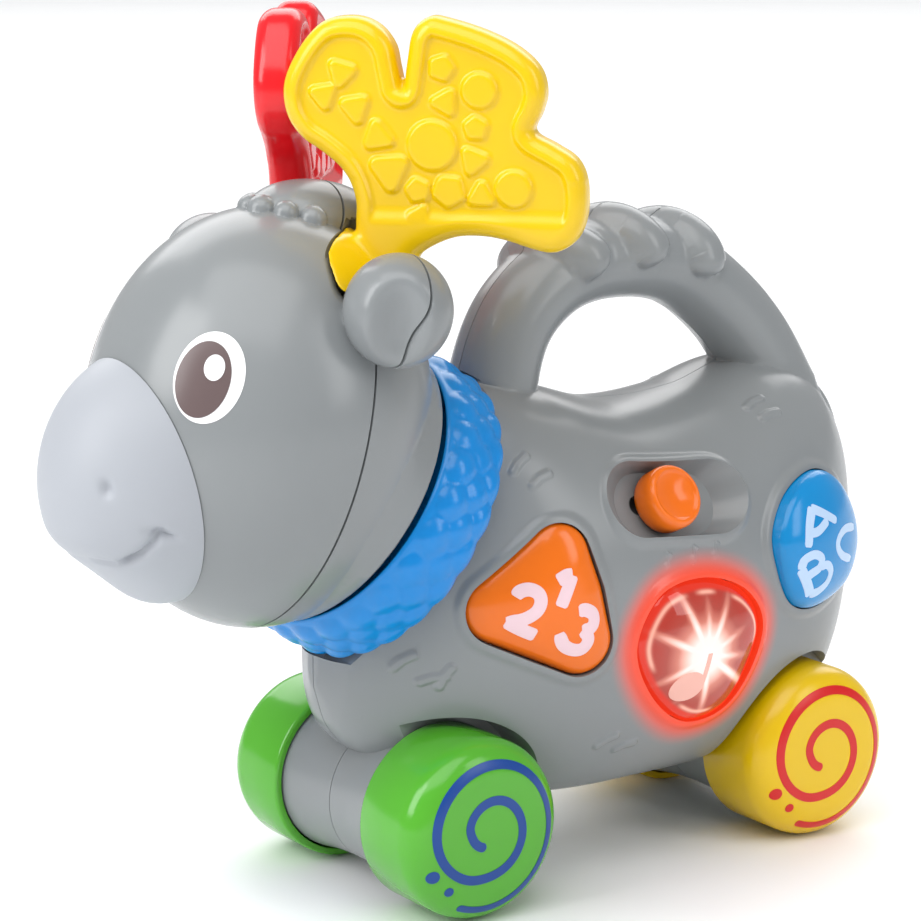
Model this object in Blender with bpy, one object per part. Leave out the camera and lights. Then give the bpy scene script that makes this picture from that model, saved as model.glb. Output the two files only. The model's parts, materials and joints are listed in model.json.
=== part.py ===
"""Wheeled toy moose: a push-along baby toy with sound buttons, in metres.

The toy faces -X, its left flank looks along -Y and +Z is up. The shapes are built from the
floor point under the front axle, and one empty moves that point so that the origin lies on
the floor under the middle of the toy's box.
"""

import math

import bmesh
import bpy
from mathutils import Matrix, Vector

# Driving dimensions.
FRONT_AXLE_X = -0.03044
WHEEL_DIAMETER = 0.054
WHEEL_WIDTH = 0.0283
WHEELBASE = 0.1288
WHEEL_INNER_Y = 0.0227
WHEEL_WALL = 0.0022
AXLE_DIAMETER = 0.004
SHELL_WALL = 0.0022
BELLY_Z = 0.0235
HANDLE_IN_PLANE = 0.0125
HANDLE_LATERAL = 0.0135
COLLAR_DIAMETER = 0.093
COLLAR_WIDTH = 0.0170
NECK_DIAMETER = 0.059
HEAD_LENGTH = 0.0996
HEAD_WIDTH = 0.0974
HEAD_HEIGHT = 0.1206
MUZZLE_LENGTH = 0.067
MUZZLE_WIDTH = 0.0626
MUZZLE_HEIGHT = 0.074
ANTLER_THICKNESS = 0.013
ANTLER_SPLAY = math.radians(48.0)
ANTLER_LEAN = math.radians(1.0)
ANTLER_DRUM_DIAMETER = 0.0310
ANTLER_EDGE_ROUND = 0.0045
PIN_DIAMETER = 0.004
BUTTON_TRAVEL = 0.0025
KNOB_DIAMETER = 0.0196
SLIDER_LENGTH = 0.052
SLIDER_HEIGHT = 0.0236
CELL_DIAMETER = 0.0105
CELL_LENGTH = 0.0445
CELL_COUNT = 3
SPEAKER_DIAMETER = 0.040
SCREW_SHANK_DIAMETER = 0.0028
SCREW_HEAD_DIAMETER = 0.0062

# Clearances: rest gap between fixed pieces, running gap between moving ones, overcut past a face.
REST_GAP = 0.0003
OVERCUT = 0.001
RUN_GAP = 0.0006
WELL_GAP = 0.0033

WHEEL_RADIUS = WHEEL_DIAMETER / 2
AXLE_RADIUS = AXLE_DIAMETER / 2
BUSH_WALL = 0.003
BUSH_RADIUS = AXLE_RADIUS + BUSH_WALL
BUSH_LENGTH = 0.0081
DRUM_RADIUS = ANTLER_DRUM_DIAMETER / 2
PIN_RADIUS = PIN_DIAMETER / 2
WELL_RADIUS = WHEEL_RADIUS + WELL_GAP
BARREL_LAP = 0.0023
BARREL_END_Y = WHEEL_INNER_Y + BARREL_LAP
WELL_SIDE_GAP = 0.0007
WELL_INNER_Y = WHEEL_INNER_Y - WELL_SIDE_GAP
BARREL_FLANGE_RADIUS = WHEEL_RADIUS - WHEEL_WALL - RUN_GAP
BARREL_WAIST_DEPTH = 0.0019
BARREL_WAIST_RADIUS = BARREL_FLANGE_RADIUS - BARREL_WAIST_DEPTH
FAR = 0.2
PAST_FLANK = FAR / 2
PAST_CONTROL = FAR / 4

# Torso stations: x from the front axle as a share of the wheelbase, then top, bottom, half width.
TORSO_SHARES = (
    (-0.2135, 0.078, 0.064, 0.003),
    (-0.1825, 0.094, 0.052, 0.0125),
    (-0.1126, 0.112, 0.042, 0.0225),
    (0.0000, 0.134, 0.034, 0.0335),
    (0.1553, 0.149, 0.0255, 0.0425),
    (0.3494, 0.147, 0.0215, 0.0475),
    (0.5823, 0.1388, 0.021, 0.0485),
    (0.8152, 0.1395, 0.0215, 0.0465),
    (1.0093, 0.146, 0.025, 0.0412),
    (1.1568, 0.1425, 0.035, 0.0325),
    (1.2655, 0.130, 0.053, 0.0208),
    (1.3315, 0.112, 0.075, 0.008),
)
TORSO = tuple((share * WHEELBASE, *rest) for share, *rest in TORSO_SHARES)
TORSO_UPPER_POWER = 2.2
TORSO_LOWER_POWER = 2.8

# Handle centre line in the mid-plane: x as a share of the wheelbase, z.
HANDLE_SHARES = (
    (0.2733, 0.122),
    (0.2873, 0.147),
    (0.3455, 0.166),
    (0.4658, 0.178),
    (0.6211, 0.1815),
    (0.7997, 0.178),
    (0.9472, 0.166),
    (1.0637, 0.150),
    (1.1568, 0.128),
)
HANDLE = tuple((share * WHEELBASE, z) for share, z in HANDLE_SHARES)
HANDLE_FLARE = 0.22
TAIL_CENTRE = Vector((1.2616 * WHEELBASE, 0.0, 0.1185))
TAIL_SEMI = (0.0095, 0.010, 0.0185)
TAIL_LEAN = -0.30

# Neck frame: the axis runs forward and up from the body into the head.
NECK_CENTRE = Vector((-0.0061, 0.0, 0.1160))
NECK_RISE = math.radians(32.7)
NECK_AXIS = Vector((-math.cos(NECK_RISE), 0.0, math.sin(NECK_RISE)))
COLLAR_HALF = COLLAR_WIDTH / 2
NECK_WALL_AT = COLLAR_HALF + RUN_GAP
NECK_BODY_STEP = 0.006
NECK_HEAD_STEP = 0.012
NECK_HOLE_DEPTH = 0.03
NECK_LIP = 0.0015
BOLT_DIAMETER = 0.004
BOLT_HEAD_DIAMETER = 0.009
BOLT_HEAD_THICK = 0.0031
NUT_THICK = 0.0033

# Head frame: an egg that leans back, and the parting plane of its two shells.
HEAD_CENTRE = Vector((-0.0450, 0.0, 0.1465))
HEAD_LEAN = math.radians(8.1)
SEAM_POINT = Vector((-0.0395, 0.0, 0.148))
SEAM_LEAN = math.radians(14.5)
MUZZLE_CENTRE = Vector((-0.0785, 0.0, 0.1346))
MUZZLE_LEAN = math.radians(12.3)
EAR_CENTRE = Vector((-0.0305, -0.0492, 0.1822))
EAR_SEMI = (0.0150, 0.0155, 0.0158)
EAR_LEAN = 0.15
TUFT_CENTRE = Vector((-0.0305, 0.0, 0.2020))
TUFT_SEMI = (0.0195, 0.0115, 0.0085)
TUFT_LEAN = 0.12

# Antler outline in its own plane, from the root: along the splay, up. The pivot lies beside the root.
ANTLER_ROOT = Vector((-0.0193, -0.0212, 0.1871))
ANTLER_PIVOT_SHIFT = -0.0045
ANTLER_OUTLINE = (
    (-0.0020, 0.004), (-0.0046, 0.0150), (-0.0045, 0.0220), (-0.0075, 0.0297), (-0.0135, 0.0351),
    (-0.0192, 0.0389), (-0.0232, 0.0440), (-0.0248, 0.0504), (-0.0239, 0.0567), (-0.0198, 0.0645),
    (-0.0146, 0.0704), (-0.0095, 0.0726), (-0.0029, 0.0727), (0.0027, 0.0701), (0.0066, 0.0650),
    (0.0080, 0.0588), (0.0094, 0.0535), (0.0105, 0.0605), (0.0122, 0.0690), (0.0165, 0.0730),
    (0.0215, 0.0726), (0.0321, 0.0695), (0.0413, 0.0651), (0.0474, 0.0595), (0.0493, 0.0528),
    (0.0480, 0.0471), (0.0461, 0.0421), (0.0519, 0.0387), (0.0578, 0.0348), (0.0606, 0.0286),
    (0.0607, 0.0195), (0.0580, 0.0125), (0.0521, 0.0087), (0.0457, 0.0096), (0.0378, 0.0119),
    (0.0308, 0.0128), (0.0229, 0.0120), (0.0141, 0.0075), (0.0100, 0.0020),
)

# Flank controls on the left side: place in the side view, then the outline's corners.
NUMBER_BUTTON_AT = (0.1669 * WHEELBASE, 0.0915)
NUMBER_BUTTON_CORNERS = ((0.0078, 0.0218), (-0.0205, -0.0022), (0.0195, -0.0228))
NUMBER_CORNER_ROUND = 0.010
LETTER_BUTTON_AT = (1.0404 * WHEELBASE, 0.0935)
LETTER_BUTTON_CORNERS = ((-0.001, 0.0215), (-0.0240, 0.002), (-0.0175, -0.0185), (0.0215, -0.012))
LETTER_CORNER_ROUND = 0.011
LAMP_BUTTON_AT = (0.6172 * WHEELBASE, 0.068)
LAMP_BUTTON_CORNERS = ((-0.0225, 0.0145), (0.0235, 0.0105), (0.003, -0.0235))
LAMP_CORNER_ROUND = 0.0165
SLIDER_AT = (0.5846 * WHEELBASE, 0.1145)
SLIDER_TILT = math.radians(-6.5)
SLIDER_REST = -0.0030
SLIDER_TRAVEL = 0.020

# Screws through the body and posts of the main board: x as a share of the wheelbase, z.
BODY_SCREWS = tuple(
    (share * WHEELBASE, z)
    for share, z in ((-0.0776, 0.066), (0.2795, 0.126), (0.8696, 0.127), (0.3882, 0.051), (1.1413, 0.131))
)
BOARD_POSTS = tuple(
    (share * WHEELBASE, z)
    for share, z in ((0.3183, 0.063), (0.7997, 0.063), (0.3183, 0.113), (0.7997, 0.113))
)
HEAD_SCREWS = ((0.031, -0.018), (-0.031, -0.018), (0.0, -0.047))

COLOURS = {
    "grey_abs": ((0.30, 0.31, 0.305, 1.0), 0.28, 0.0),
    "pale_grey_soft": ((0.52, 0.55, 0.61, 1.0), 0.55, 0.0),
    "blue_plastic": ((0.005, 0.20, 0.62, 1.0), 0.38, 0.0),
    "orange_plastic": ((0.93, 0.22, 0.012, 1.0), 0.30, 0.0),
    "red_lens": ((0.80, 0.03, 0.012, 1.0), 0.12, 0.0),
    "sky_plastic": ((0.02, 0.30, 0.75, 1.0), 0.30, 0.0),
    "yellow_plastic": ((0.90, 0.66, 0.006, 1.0), 0.30, 0.0),
    "red_plastic": ((0.80, 0.012, 0.018, 1.0), 0.25, 0.0),
    "green_plastic": ((0.13, 0.51, 0.055, 1.0), 0.32, 0.0),
    "steel": ((0.60, 0.60, 0.60, 1.0), 0.30, 1.0),
    "dark_plastic": ((0.03, 0.03, 0.032, 1.0), 0.45, 0.0),
    "board_green": ((0.02, 0.16, 0.05, 1.0), 0.50, 0.0),
    "cell_wrap": ((0.05, 0.05, 0.055, 1.0), 0.35, 0.0),
    "white_nylon": ((0.78, 0.78, 0.75, 1.0), 0.45, 0.0),
    "pad_rubber": ((0.55, 0.55, 0.56, 1.0), 0.70, 0.0),
    "lamp_epoxy": ((0.85, 0.85, 0.82, 1.0), 0.10, 0.0),
    "cone_paper": ((0.06, 0.06, 0.06, 1.0), 0.80, 0.0),
}

for old in list(bpy.data.objects):
    bpy.data.objects.remove(old, do_unlink=True)

SCENE = bpy.context.scene
TOY = bpy.data.objects.new("toy_frame", None)
TOY.location = (FRONT_AXLE_X, 0.0, 0.0)
SCENE.collection.objects.link(TOY)


def make_material(name):
    """A Principled material with the colour, roughness and metallic of one kind of surface."""
    found = bpy.data.materials.get(name)
    if found:
        return found
    colour, roughness, metallic = COLOURS[name]
    made = bpy.data.materials.new(name)
    made.use_nodes = True
    shader = made.node_tree.nodes["Principled BSDF"]
    shader.inputs["Base Color"].default_value = colour
    shader.inputs["Roughness"].default_value = roughness
    shader.inputs["Metallic"].default_value = metallic
    made.diffuse_color = colour
    return made


def mesh_object(name, points, faces):
    """A closed mesh with its faces turned outwards."""
    mesh = bpy.data.meshes.new(name)
    mesh.from_pydata([tuple(p) for p in points], [], faces)
    shape = bmesh.new()
    shape.from_mesh(mesh)
    bmesh.ops.remove_doubles(shape, verts=shape.verts, dist=1e-7)
    bmesh.ops.recalc_face_normals(shape, faces=shape.faces)
    if shape.calc_volume(signed=True) < 0:
        bmesh.ops.reverse_faces(shape, faces=shape.faces)
    shape.to_mesh(mesh)
    shape.free()
    made = bpy.data.objects.new(name, mesh)
    SCENE.collection.objects.link(made)
    return made


def loft(name, rings):
    """Rings of equal count joined side by side, with a fan over each end."""
    count = len(rings[0])
    points = [p for ring in rings for p in ring]
    faces = []
    for r in range(len(rings) - 1):
        for k in range(count):
            a = r * count + k
            b = r * count + (k + 1) % count
            faces.append((a, b, b + count, a + count))
    for first, order in ((0, 1), ((len(rings) - 1) * count, -1)):
        ring = points[first : first + count]
        middle = sum((Vector(p) for p in ring), Vector()) / count
        points.append(middle)
        tip = len(points) - 1
        for k in range(count):
            faces.append((first + k, first + (k + 1) % count, tip)[::order])
    return mesh_object(name, points, faces)


def turned(name, profile, place, segments):
    """A profile of (radius, height) turned about the local Z of place; radius 0 closes on the axis."""
    points = []
    rows = []
    for radius, height in profile:
        if radius < 1e-9:
            rows.append([len(points)] * segments)
            points.append(place @ Vector((0.0, 0.0, height)))
            continue
        row = []
        for k in range(segments):
            turn = 2 * math.pi * k / segments
            row.append(len(points))
            points.append(place @ Vector((radius * math.cos(turn), radius * math.sin(turn), height)))
        rows.append(row)
    if profile[0][0] > 1e-9:
        rows.append(rows[0])
    faces = []
    for low, high in zip(rows, rows[1:]):
        for k in range(segments):
            j = (k + 1) % segments
            corner = [low[k], low[j], high[j], high[k]]
            face = [c for i, c in enumerate(corner) if c not in corner[:i]]
            if len(face) > 2:
                faces.append(face)
    return mesh_object(name, points, faces)


def prism(name, outline, low, high, place):
    """A flat outline pushed along the local Z of place."""
    count = len(outline)
    points = [place @ Vector((u, v, low)) for u, v in outline]
    points += [place @ Vector((u, v, high)) for u, v in outline]
    faces = [tuple(range(count))[::-1], tuple(range(count, 2 * count))]
    for k in range(count):
        j = (k + 1) % count
        faces.append((k, j, j + count, k + count))
    return mesh_object(name, points, faces)


def block(name, low, high):
    """A box between two corners."""
    outline = [(low[0], low[1]), (high[0], low[1]), (high[0], high[1]), (low[0], high[1])]
    return prism(name, outline, low[2], high[2], Matrix.Identity(4))


def ellipsoid(name, centre, semi, lean, segments=36, rows=18):
    """An ellipsoid whose upright axis leans back by lean, its poles at the two sides."""
    forward = Vector((-math.cos(lean), 0.0, math.sin(lean)))
    up = Vector((math.sin(lean), 0.0, math.cos(lean)))
    side = Vector((0.0, 1.0, 0.0))
    rings = []
    points = []
    for r in range(1, rows):
        polar = math.pi * r / rows
        ring = []
        for k in range(segments):
            turn = 2 * math.pi * k / segments
            flat = forward * (semi[0] * math.cos(turn)) + up * (semi[2] * math.sin(turn))
            ring.append(centre + flat * math.sin(polar) + side * (semi[1] * math.cos(polar)))
        rings.append(ring)
    points = [p for ring in rings for p in ring]
    points.append(centre + side * semi[1])
    points.append(centre - side * semi[1])
    faces = []
    for r in range(len(rings) - 1):
        for k in range(segments):
            a = r * segments + k
            b = r * segments + (k + 1) % segments
            faces.append((a, b, b + segments, a + segments))
    last = (len(rings) - 1) * segments
    for k in range(segments):
        j = (k + 1) % segments
        faces.append((k, j, len(points) - 2))
        faces.append((last + k, last + j, len(points) - 1))
    return mesh_object(name, points, faces)


def combine(target, operation, others):
    """An exact Boolean of target with all the others, applied, with the others removed."""
    group = bpy.data.collections.new("operands")
    SCENE.collection.children.link(group)
    for other in others:
        SCENE.collection.objects.unlink(other)
        group.objects.link(other)
    change = target.modifiers.new("combine", "BOOLEAN")
    change.operation = operation
    change.solver = "EXACT"
    change.operand_type = "COLLECTION"
    change.collection = group
    finish(target)
    for other in others:
        spare = other.data
        bpy.data.objects.remove(other, do_unlink=True)
        bpy.data.meshes.remove(spare)
    bpy.data.collections.remove(group)
    return target


def finish(target):
    """Writes the modifiers of one object into its mesh."""
    bpy.context.view_layer.update()
    graph = bpy.context.evaluated_depsgraph_get()
    made = bpy.data.meshes.new_from_object(target.evaluated_get(graph))
    old = target.data
    target.modifiers.clear()
    target.data = made
    bpy.data.meshes.remove(old)
    shape = bmesh.new()
    shape.from_mesh(made)
    bmesh.ops.remove_doubles(shape, verts=shape.verts, dist=2e-6)
    bmesh.ops.dissolve_degenerate(shape, edges=shape.edges, dist=2e-6)
    shape.to_mesh(made)
    shape.free()


def copy_of(source, name):
    made = bpy.data.objects.new(name, source.data.copy())
    SCENE.collection.objects.link(made)
    return made


def mirrored(source, name):
    """The same shape on the other side of the mid-plane."""
    made = copy_of(source, name)
    made.data.transform(Matrix.Diagonal((1.0, -1.0, 1.0, 1.0)))
    made.data.flip_normals()
    return made


def settle(made, name, material, pivot=None):
    """Names a finished node, colours it and puts its origin on its pivot."""
    made.name = name
    made.data.name = name
    pivot = Vector(pivot) if pivot else Vector()
    made.data.transform(Matrix.Translation(-pivot))
    made.location = pivot
    made.parent = TOY
    made.data.materials.clear()
    made.data.materials.append(make_material(material))
    made.data.shade_smooth()
    made.data.set_sharp_from_angle(angle=math.radians(38.0))
    return made


def frame_on(origin, along, up):
    """A local frame whose Z is along and whose Y lies as near up as it can."""
    z = Vector(along).normalized()
    x = Vector(up).cross(z).normalized()
    y = z.cross(x)
    made = Matrix((x, y, z)).transposed().to_4x4()
    made.translation = Vector(origin)
    return made


def side_frame(x, z, side):
    """A frame at (x, z) whose Z points out of one flank."""
    return frame_on((x, 0.0, z), (0.0, side, 0.0), (0.0, 0.0, 1.0))


def cylinder(name, radius, low, high, place, segments=24):
    return turned(name, [(0.0, low), (radius, low), (radius, high), (0.0, high)], place, segments)


def tube(name, outer, inner, low, high, place, segments=24):
    return turned(name, [(outer, low), (outer, high), (inner, high), (inner, low)], place, segments)


def smooth_value(stations, column, x):
    """A smooth curve through one column of the stations."""
    xs = [s[0] for s in stations]
    ys = [s[column] for s in stations]
    slopes = []
    for i in range(len(xs)):
        a = max(i - 1, 0)
        b = min(i + 1, len(xs) - 1)
        slopes.append((ys[b] - ys[a]) / (xs[b] - xs[a]))
    i = 0
    while i < len(xs) - 2 and x > xs[i + 1]:
        i += 1
    span = xs[i + 1] - xs[i]
    t = (x - xs[i]) / span
    first = (2 * t**3 - 3 * t**2 + 1) * ys[i] + (t**3 - 2 * t**2 + t) * span * slopes[i]
    return first + (3 * t**2 - 2 * t**3) * ys[i + 1] + (t**3 - t**2) * span * slopes[i + 1]


def torso_ring(x, inset, count):
    """One upright section of the torso, inset from its skin."""
    top = smooth_value(TORSO, 1, x) - inset
    bottom = smooth_value(TORSO, 2, x) + inset
    half = smooth_value(TORSO, 3, x) - inset
    middle = (top + bottom) / 2
    rise = (top - bottom) / 2
    ring = []
    for k in range(count):
        turn = 2 * math.pi * (k + 0.5) / count
        c = math.cos(turn)
        s = math.sin(turn)
        power = TORSO_UPPER_POWER if s > 0 else TORSO_LOWER_POWER
        y = half * math.copysign(abs(c) ** (2 / power), c)
        z = middle + rise * math.copysign(abs(s) ** (2 / power), s)
        ring.append(Vector((x, y, z)))
    return ring


def torso(name, inset, count, rows):
    """The torso as a loft; an inset one starts where the section can hold the inset."""
    first = TORSO[0][0]
    last = TORSO[-1][0]
    if inset > 0:
        first = TORSO[1][0]
        last = TORSO[-1][0] - 1.5 * inset
    rings = []
    for r in range(rows + 1):
        t = 0.5 - 0.5 * math.cos(math.pi * r / rows)
        t = 0.6 * t + 0.4 * r / rows
        rings.append(torso_ring(first + (last - first) * t, inset, count))
    return loft(name, rings)


def flank_y(x, z, side):
    """Where the torso's skin lies at (x, z) on one side."""
    top = smooth_value(TORSO, 1, x)
    bottom = smooth_value(TORSO, 2, x)
    half = smooth_value(TORSO, 3, x)
    level = (z - (top + bottom) / 2) / ((top - bottom) / 2)
    power = TORSO_UPPER_POWER if level > 0 else TORSO_LOWER_POWER
    return side * half * max(1 - abs(level) ** power, 0.0) ** (1 / power)


def flank_frame(x, z, side, tilt=0.0):
    """A frame on the skin at (x, z): Z out of the skin, Y up, turned by tilt in the skin."""
    step = 0.002
    across_x = Vector((2 * step, flank_y(x + step, z, side) - flank_y(x - step, z, side), 0.0))
    across_z = Vector((0.0, flank_y(x, z + step, side) - flank_y(x, z - step, side), 2 * step))
    out = across_x.cross(across_z).normalized()
    if out.y * side < 0:
        out = -out
    made = frame_on((x, flank_y(x, z, side), z), out, (0.0, 0.0, 1.0))
    return made @ Matrix.Rotation(tilt, 4, "Z")


def swept(name, path, in_plane, lateral, count, rows, flare=0.0):
    """A tube with an elliptic section along a path in the mid-plane, wider at both ends by flare."""
    stations = [(i, p[0], p[1]) for i, p in enumerate(path)]
    rings = []
    for r in range(rows + 1):
        t = (len(path) - 1) * r / rows
        here = Vector((smooth_value(stations, 1, t), 0.0, smooth_value(stations, 2, t)))
        low = max(t - 0.05, 0.0)
        high = min(t + 0.05, len(path) - 1)
        ahead = Vector((smooth_value(stations, 1, high), 0.0, smooth_value(stations, 2, high)))
        behind = Vector((smooth_value(stations, 1, low), 0.0, smooth_value(stations, 2, low)))
        along = (ahead - behind).normalized()
        normal = Vector((-along.z, 0.0, along.x))
        wide = 1.0 + flare * abs(2.0 * r / rows - 1.0) ** 4
        ring = []
        for k in range(count):
            turn = 2 * math.pi * (k + 0.5) / count
            across = normal * (in_plane * wide * math.cos(turn))
            ring.append(here + across + Vector((0.0, lateral * wide * math.sin(turn), 0.0)))
        rings.append(ring)
    return loft(name, rings)


def rounded_polygon(tips, radius, grow=0.0, steps=4):
    """A convex outline whose rounded corners reach the tips, grown outwards by grow."""
    count = len(tips)
    area = sum(
        tips[k][0] * tips[(k + 1) % count][1] - tips[(k + 1) % count][0] * tips[k][1]
        for k in range(count)
    )
    ordered = [Vector(t) for t in (tips if area > 0 else tips[::-1])]
    middle = sum(ordered, Vector((0.0, 0.0))) / count
    centres = [t + (middle - t).normalized() * radius for t in ordered]
    outline = []
    for k in range(count):
        before = centres[k] - centres[k - 1]
        after = centres[(k + 1) % count] - centres[k]
        start = math.atan2(-before.x, before.y)
        end = math.atan2(-after.x, after.y)
        while end < start:
            end += 2 * math.pi
        for s in range(steps + 1):
            turn = start + (end - start) * s / steps
            reach = radius + grow
            outline.append((centres[k].x + reach * math.cos(turn), centres[k].y + reach * math.sin(turn)))
    return outline


def stadium(length, height, grow=0.0, steps=6):
    """A slot outline with round ends."""
    radius = height / 2
    reach = length / 2 - radius
    outline = []
    for middle, start in ((reach, -math.pi / 2), (-reach, math.pi / 2)):
        for s in range(steps + 1):
            turn = start + math.pi * s / steps
            outline.append(
                (middle + (radius + grow) * math.cos(turn), (radius + grow) * math.sin(turn))
            )
    return outline


def domed_cap(name, outline, base, rim, crown, place, rows=4):
    """A cap with a straight side up to rim and a shallow dome up to crown."""
    centre = Vector((sum(p[0] for p in outline), sum(p[1] for p in outline))) / len(outline)
    rings = [[place @ Vector((u, v, base)) for u, v in outline]]
    for r in range(rows):
        scale = 1.0 - r / rows
        height = crown - (crown - rim) * scale**2
        if r == 0:
            height = rim
        ring = []
        for u, v in outline:
            at = centre + (Vector((u, v)) - centre) * scale
            ring.append(place @ Vector((at.x, at.y, height)))
        rings.append(ring)
    made = loft(name, rings)
    return made


def antler_frame(side):
    """The plane of one antler: X along its splay, Y up, Z out of its front face."""
    along = Vector((math.cos(ANTLER_SPLAY), side * math.sin(ANTLER_SPLAY), 0.0))
    pivot = Vector((ANTLER_ROOT.x, ANTLER_ROOT.y * -side, ANTLER_ROOT.z)) + along * ANTLER_PIVOT_SHIFT
    up = Vector((0.0, 0.0, 1.0))
    made = Matrix((along, up, along.cross(up))).transposed().to_4x4()
    made.translation = pivot
    return made @ Matrix.Rotation(-side * ANTLER_LEAN, 4, "X")


def neck_frame():
    return frame_on(NECK_CENTRE, NECK_AXIS, (0.0, 1.0, 0.0))


NECK = neck_frame()
FRONT_AXLE = (0.0, WHEEL_RADIUS)
REAR_AXLE = (WHEELBASE, WHEEL_RADIUS)


def wheel_barrel(name, axle, shrink, end):
    """The waisted drum between two wheels."""
    flange = BARREL_FLANGE_RADIUS - shrink
    waist = BARREL_WAIST_RADIUS - shrink
    middle = (flange + waist) / 2
    profile = [
        (0.0, -end),
        (flange, -end),
        (flange, -end * 0.92),
        (middle, -end * 0.55),
        (waist, 0.0),
        (middle, end * 0.55),
        (flange, end * 0.92),
        (flange, end),
        (0.0, end),
    ]
    return turned(name, profile, side_frame(axle[0], axle[1], 1.0), 24)


def wells(grow, inner):
    """Round cutters for the four wheel wells, from a plane outwards."""
    made = []
    for axle in (FRONT_AXLE, REAR_AXLE):
        for side in (-1.0, 1.0):
            place = side_frame(axle[0], axle[1], side)
            made.append(cylinder("well", WELL_RADIUS + grow, inner, FAR / 2, place, 28))
    return made


# Controls on the flank: a frame, an outline and the depths of its seat.
CAP_GAP = 0.0004
LENS_WALL = 0.0024
FLANGE_GROW = 0.0016
FLANGE_THICK = 0.0016
LEDGE_DEPTH = 0.0068
SEAT_DEPTH = LEDGE_DEPTH + REST_GAP + FLANGE_THICK
PAD_HEIGHT = 0.0016
PLATE_THICK = 0.0014
PLATE_DEPTH = SEAT_DEPTH + BUTTON_TRAVEL + REST_GAP + PAD_HEIGHT + REST_GAP
POCKET_GROW = FLANGE_GROW + RUN_GAP
BOSS_GROW = POCKET_GROW + 0.0016

BUTTONS = {
    "number": (NUMBER_BUTTON_AT, NUMBER_BUTTON_CORNERS, NUMBER_CORNER_ROUND),
    "letter": (LETTER_BUTTON_AT, LETTER_BUTTON_CORNERS, LETTER_CORNER_ROUND),
    "lamp": (LAMP_BUTTON_AT, LAMP_BUTTON_CORNERS, LAMP_CORNER_ROUND),
}


def button_frame(key):
    at = BUTTONS[key][0]
    return flank_frame(at[0], at[1], -1.0)


def button_outline(key, grow):
    """The outline as seen from outside the left flank, where local X runs to the rear."""
    corners = BUTTONS[key][1]
    return rounded_polygon(corners, BUTTONS[key][2], grow)


SLIDER = flank_frame(SLIDER_AT[0], SLIDER_AT[1], -1.0, SLIDER_TILT)
SLIDER_FLOOR = 0.0062
SLOT_WIDTH = 0.006
SLIDER_SLOT_DEPTH = 0.02
STEM_RADIUS = 0.0022
STEM_PAST_CLIP = 0.0002
CLIP_RADIUS = 0.0050
CLIP_THICK = 0.0014
SWITCH_WIDTH = 0.008
SWITCH_THICK = 0.0045
SLIDER_FLOOR_THICK = 0.0018
GRILLE_WALL = 0.0040
GRILLE_RING = 0.0085
GRILLE_HOLE_RADIUS = 0.0018
SPEAKER_AT = (0.5590 * WHEELBASE, 0.086)
SPEAKER_CHAMBER = 0.0085
SPEAKER_RIM = 0.15
SPEAKER_SEAT_Y = flank_y(SPEAKER_AT[0], SPEAKER_AT[1], 1.0) - SPEAKER_CHAMBER - GRILLE_WALL
SPEAKER_FRAME = side_frame(SPEAKER_AT[0], SPEAKER_AT[1], 1.0)
SPEAKER_RADIUS = SPEAKER_DIAMETER / 2
BOARD_Y = 0.006
BOARD_THICK = 0.0016
SCREW_BOSS_RADIUS = 0.0040
POST_RADIUS = 0.0028
SCREW_SHANK_RADIUS = SCREW_SHANK_DIAMETER / 2
SCREW_HEAD_RADIUS = SCREW_HEAD_DIAMETER / 2
SCREW_SEAT_Y = 0.0085
SCREW_HEAD_THICK = 0.0022
SCREW_REACH = 0.0095

BAY_X = WHEELBASE / 2 + 0.0016
BAY_LENGTH = CELL_LENGTH + 0.0034
BAY_WIDTH = CELL_COUNT * CELL_DIAMETER + (CELL_COUNT + 1) * 0.0004
TRAY_WALL = 0.0014
DOOR_THICK = 0.0022
FLOOR_TOP = BELLY_Z + DOOR_THICK + 0.0002
TRAY_BOTTOM = FLOOR_TOP + REST_GAP
CELL_Z = BELLY_Z + DOOR_THICK + REST_GAP + CELL_DIAMETER / 2
TRAY_TOP = CELL_Z + CELL_DIAMETER / 2 + REST_GAP + TRAY_WALL


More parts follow.
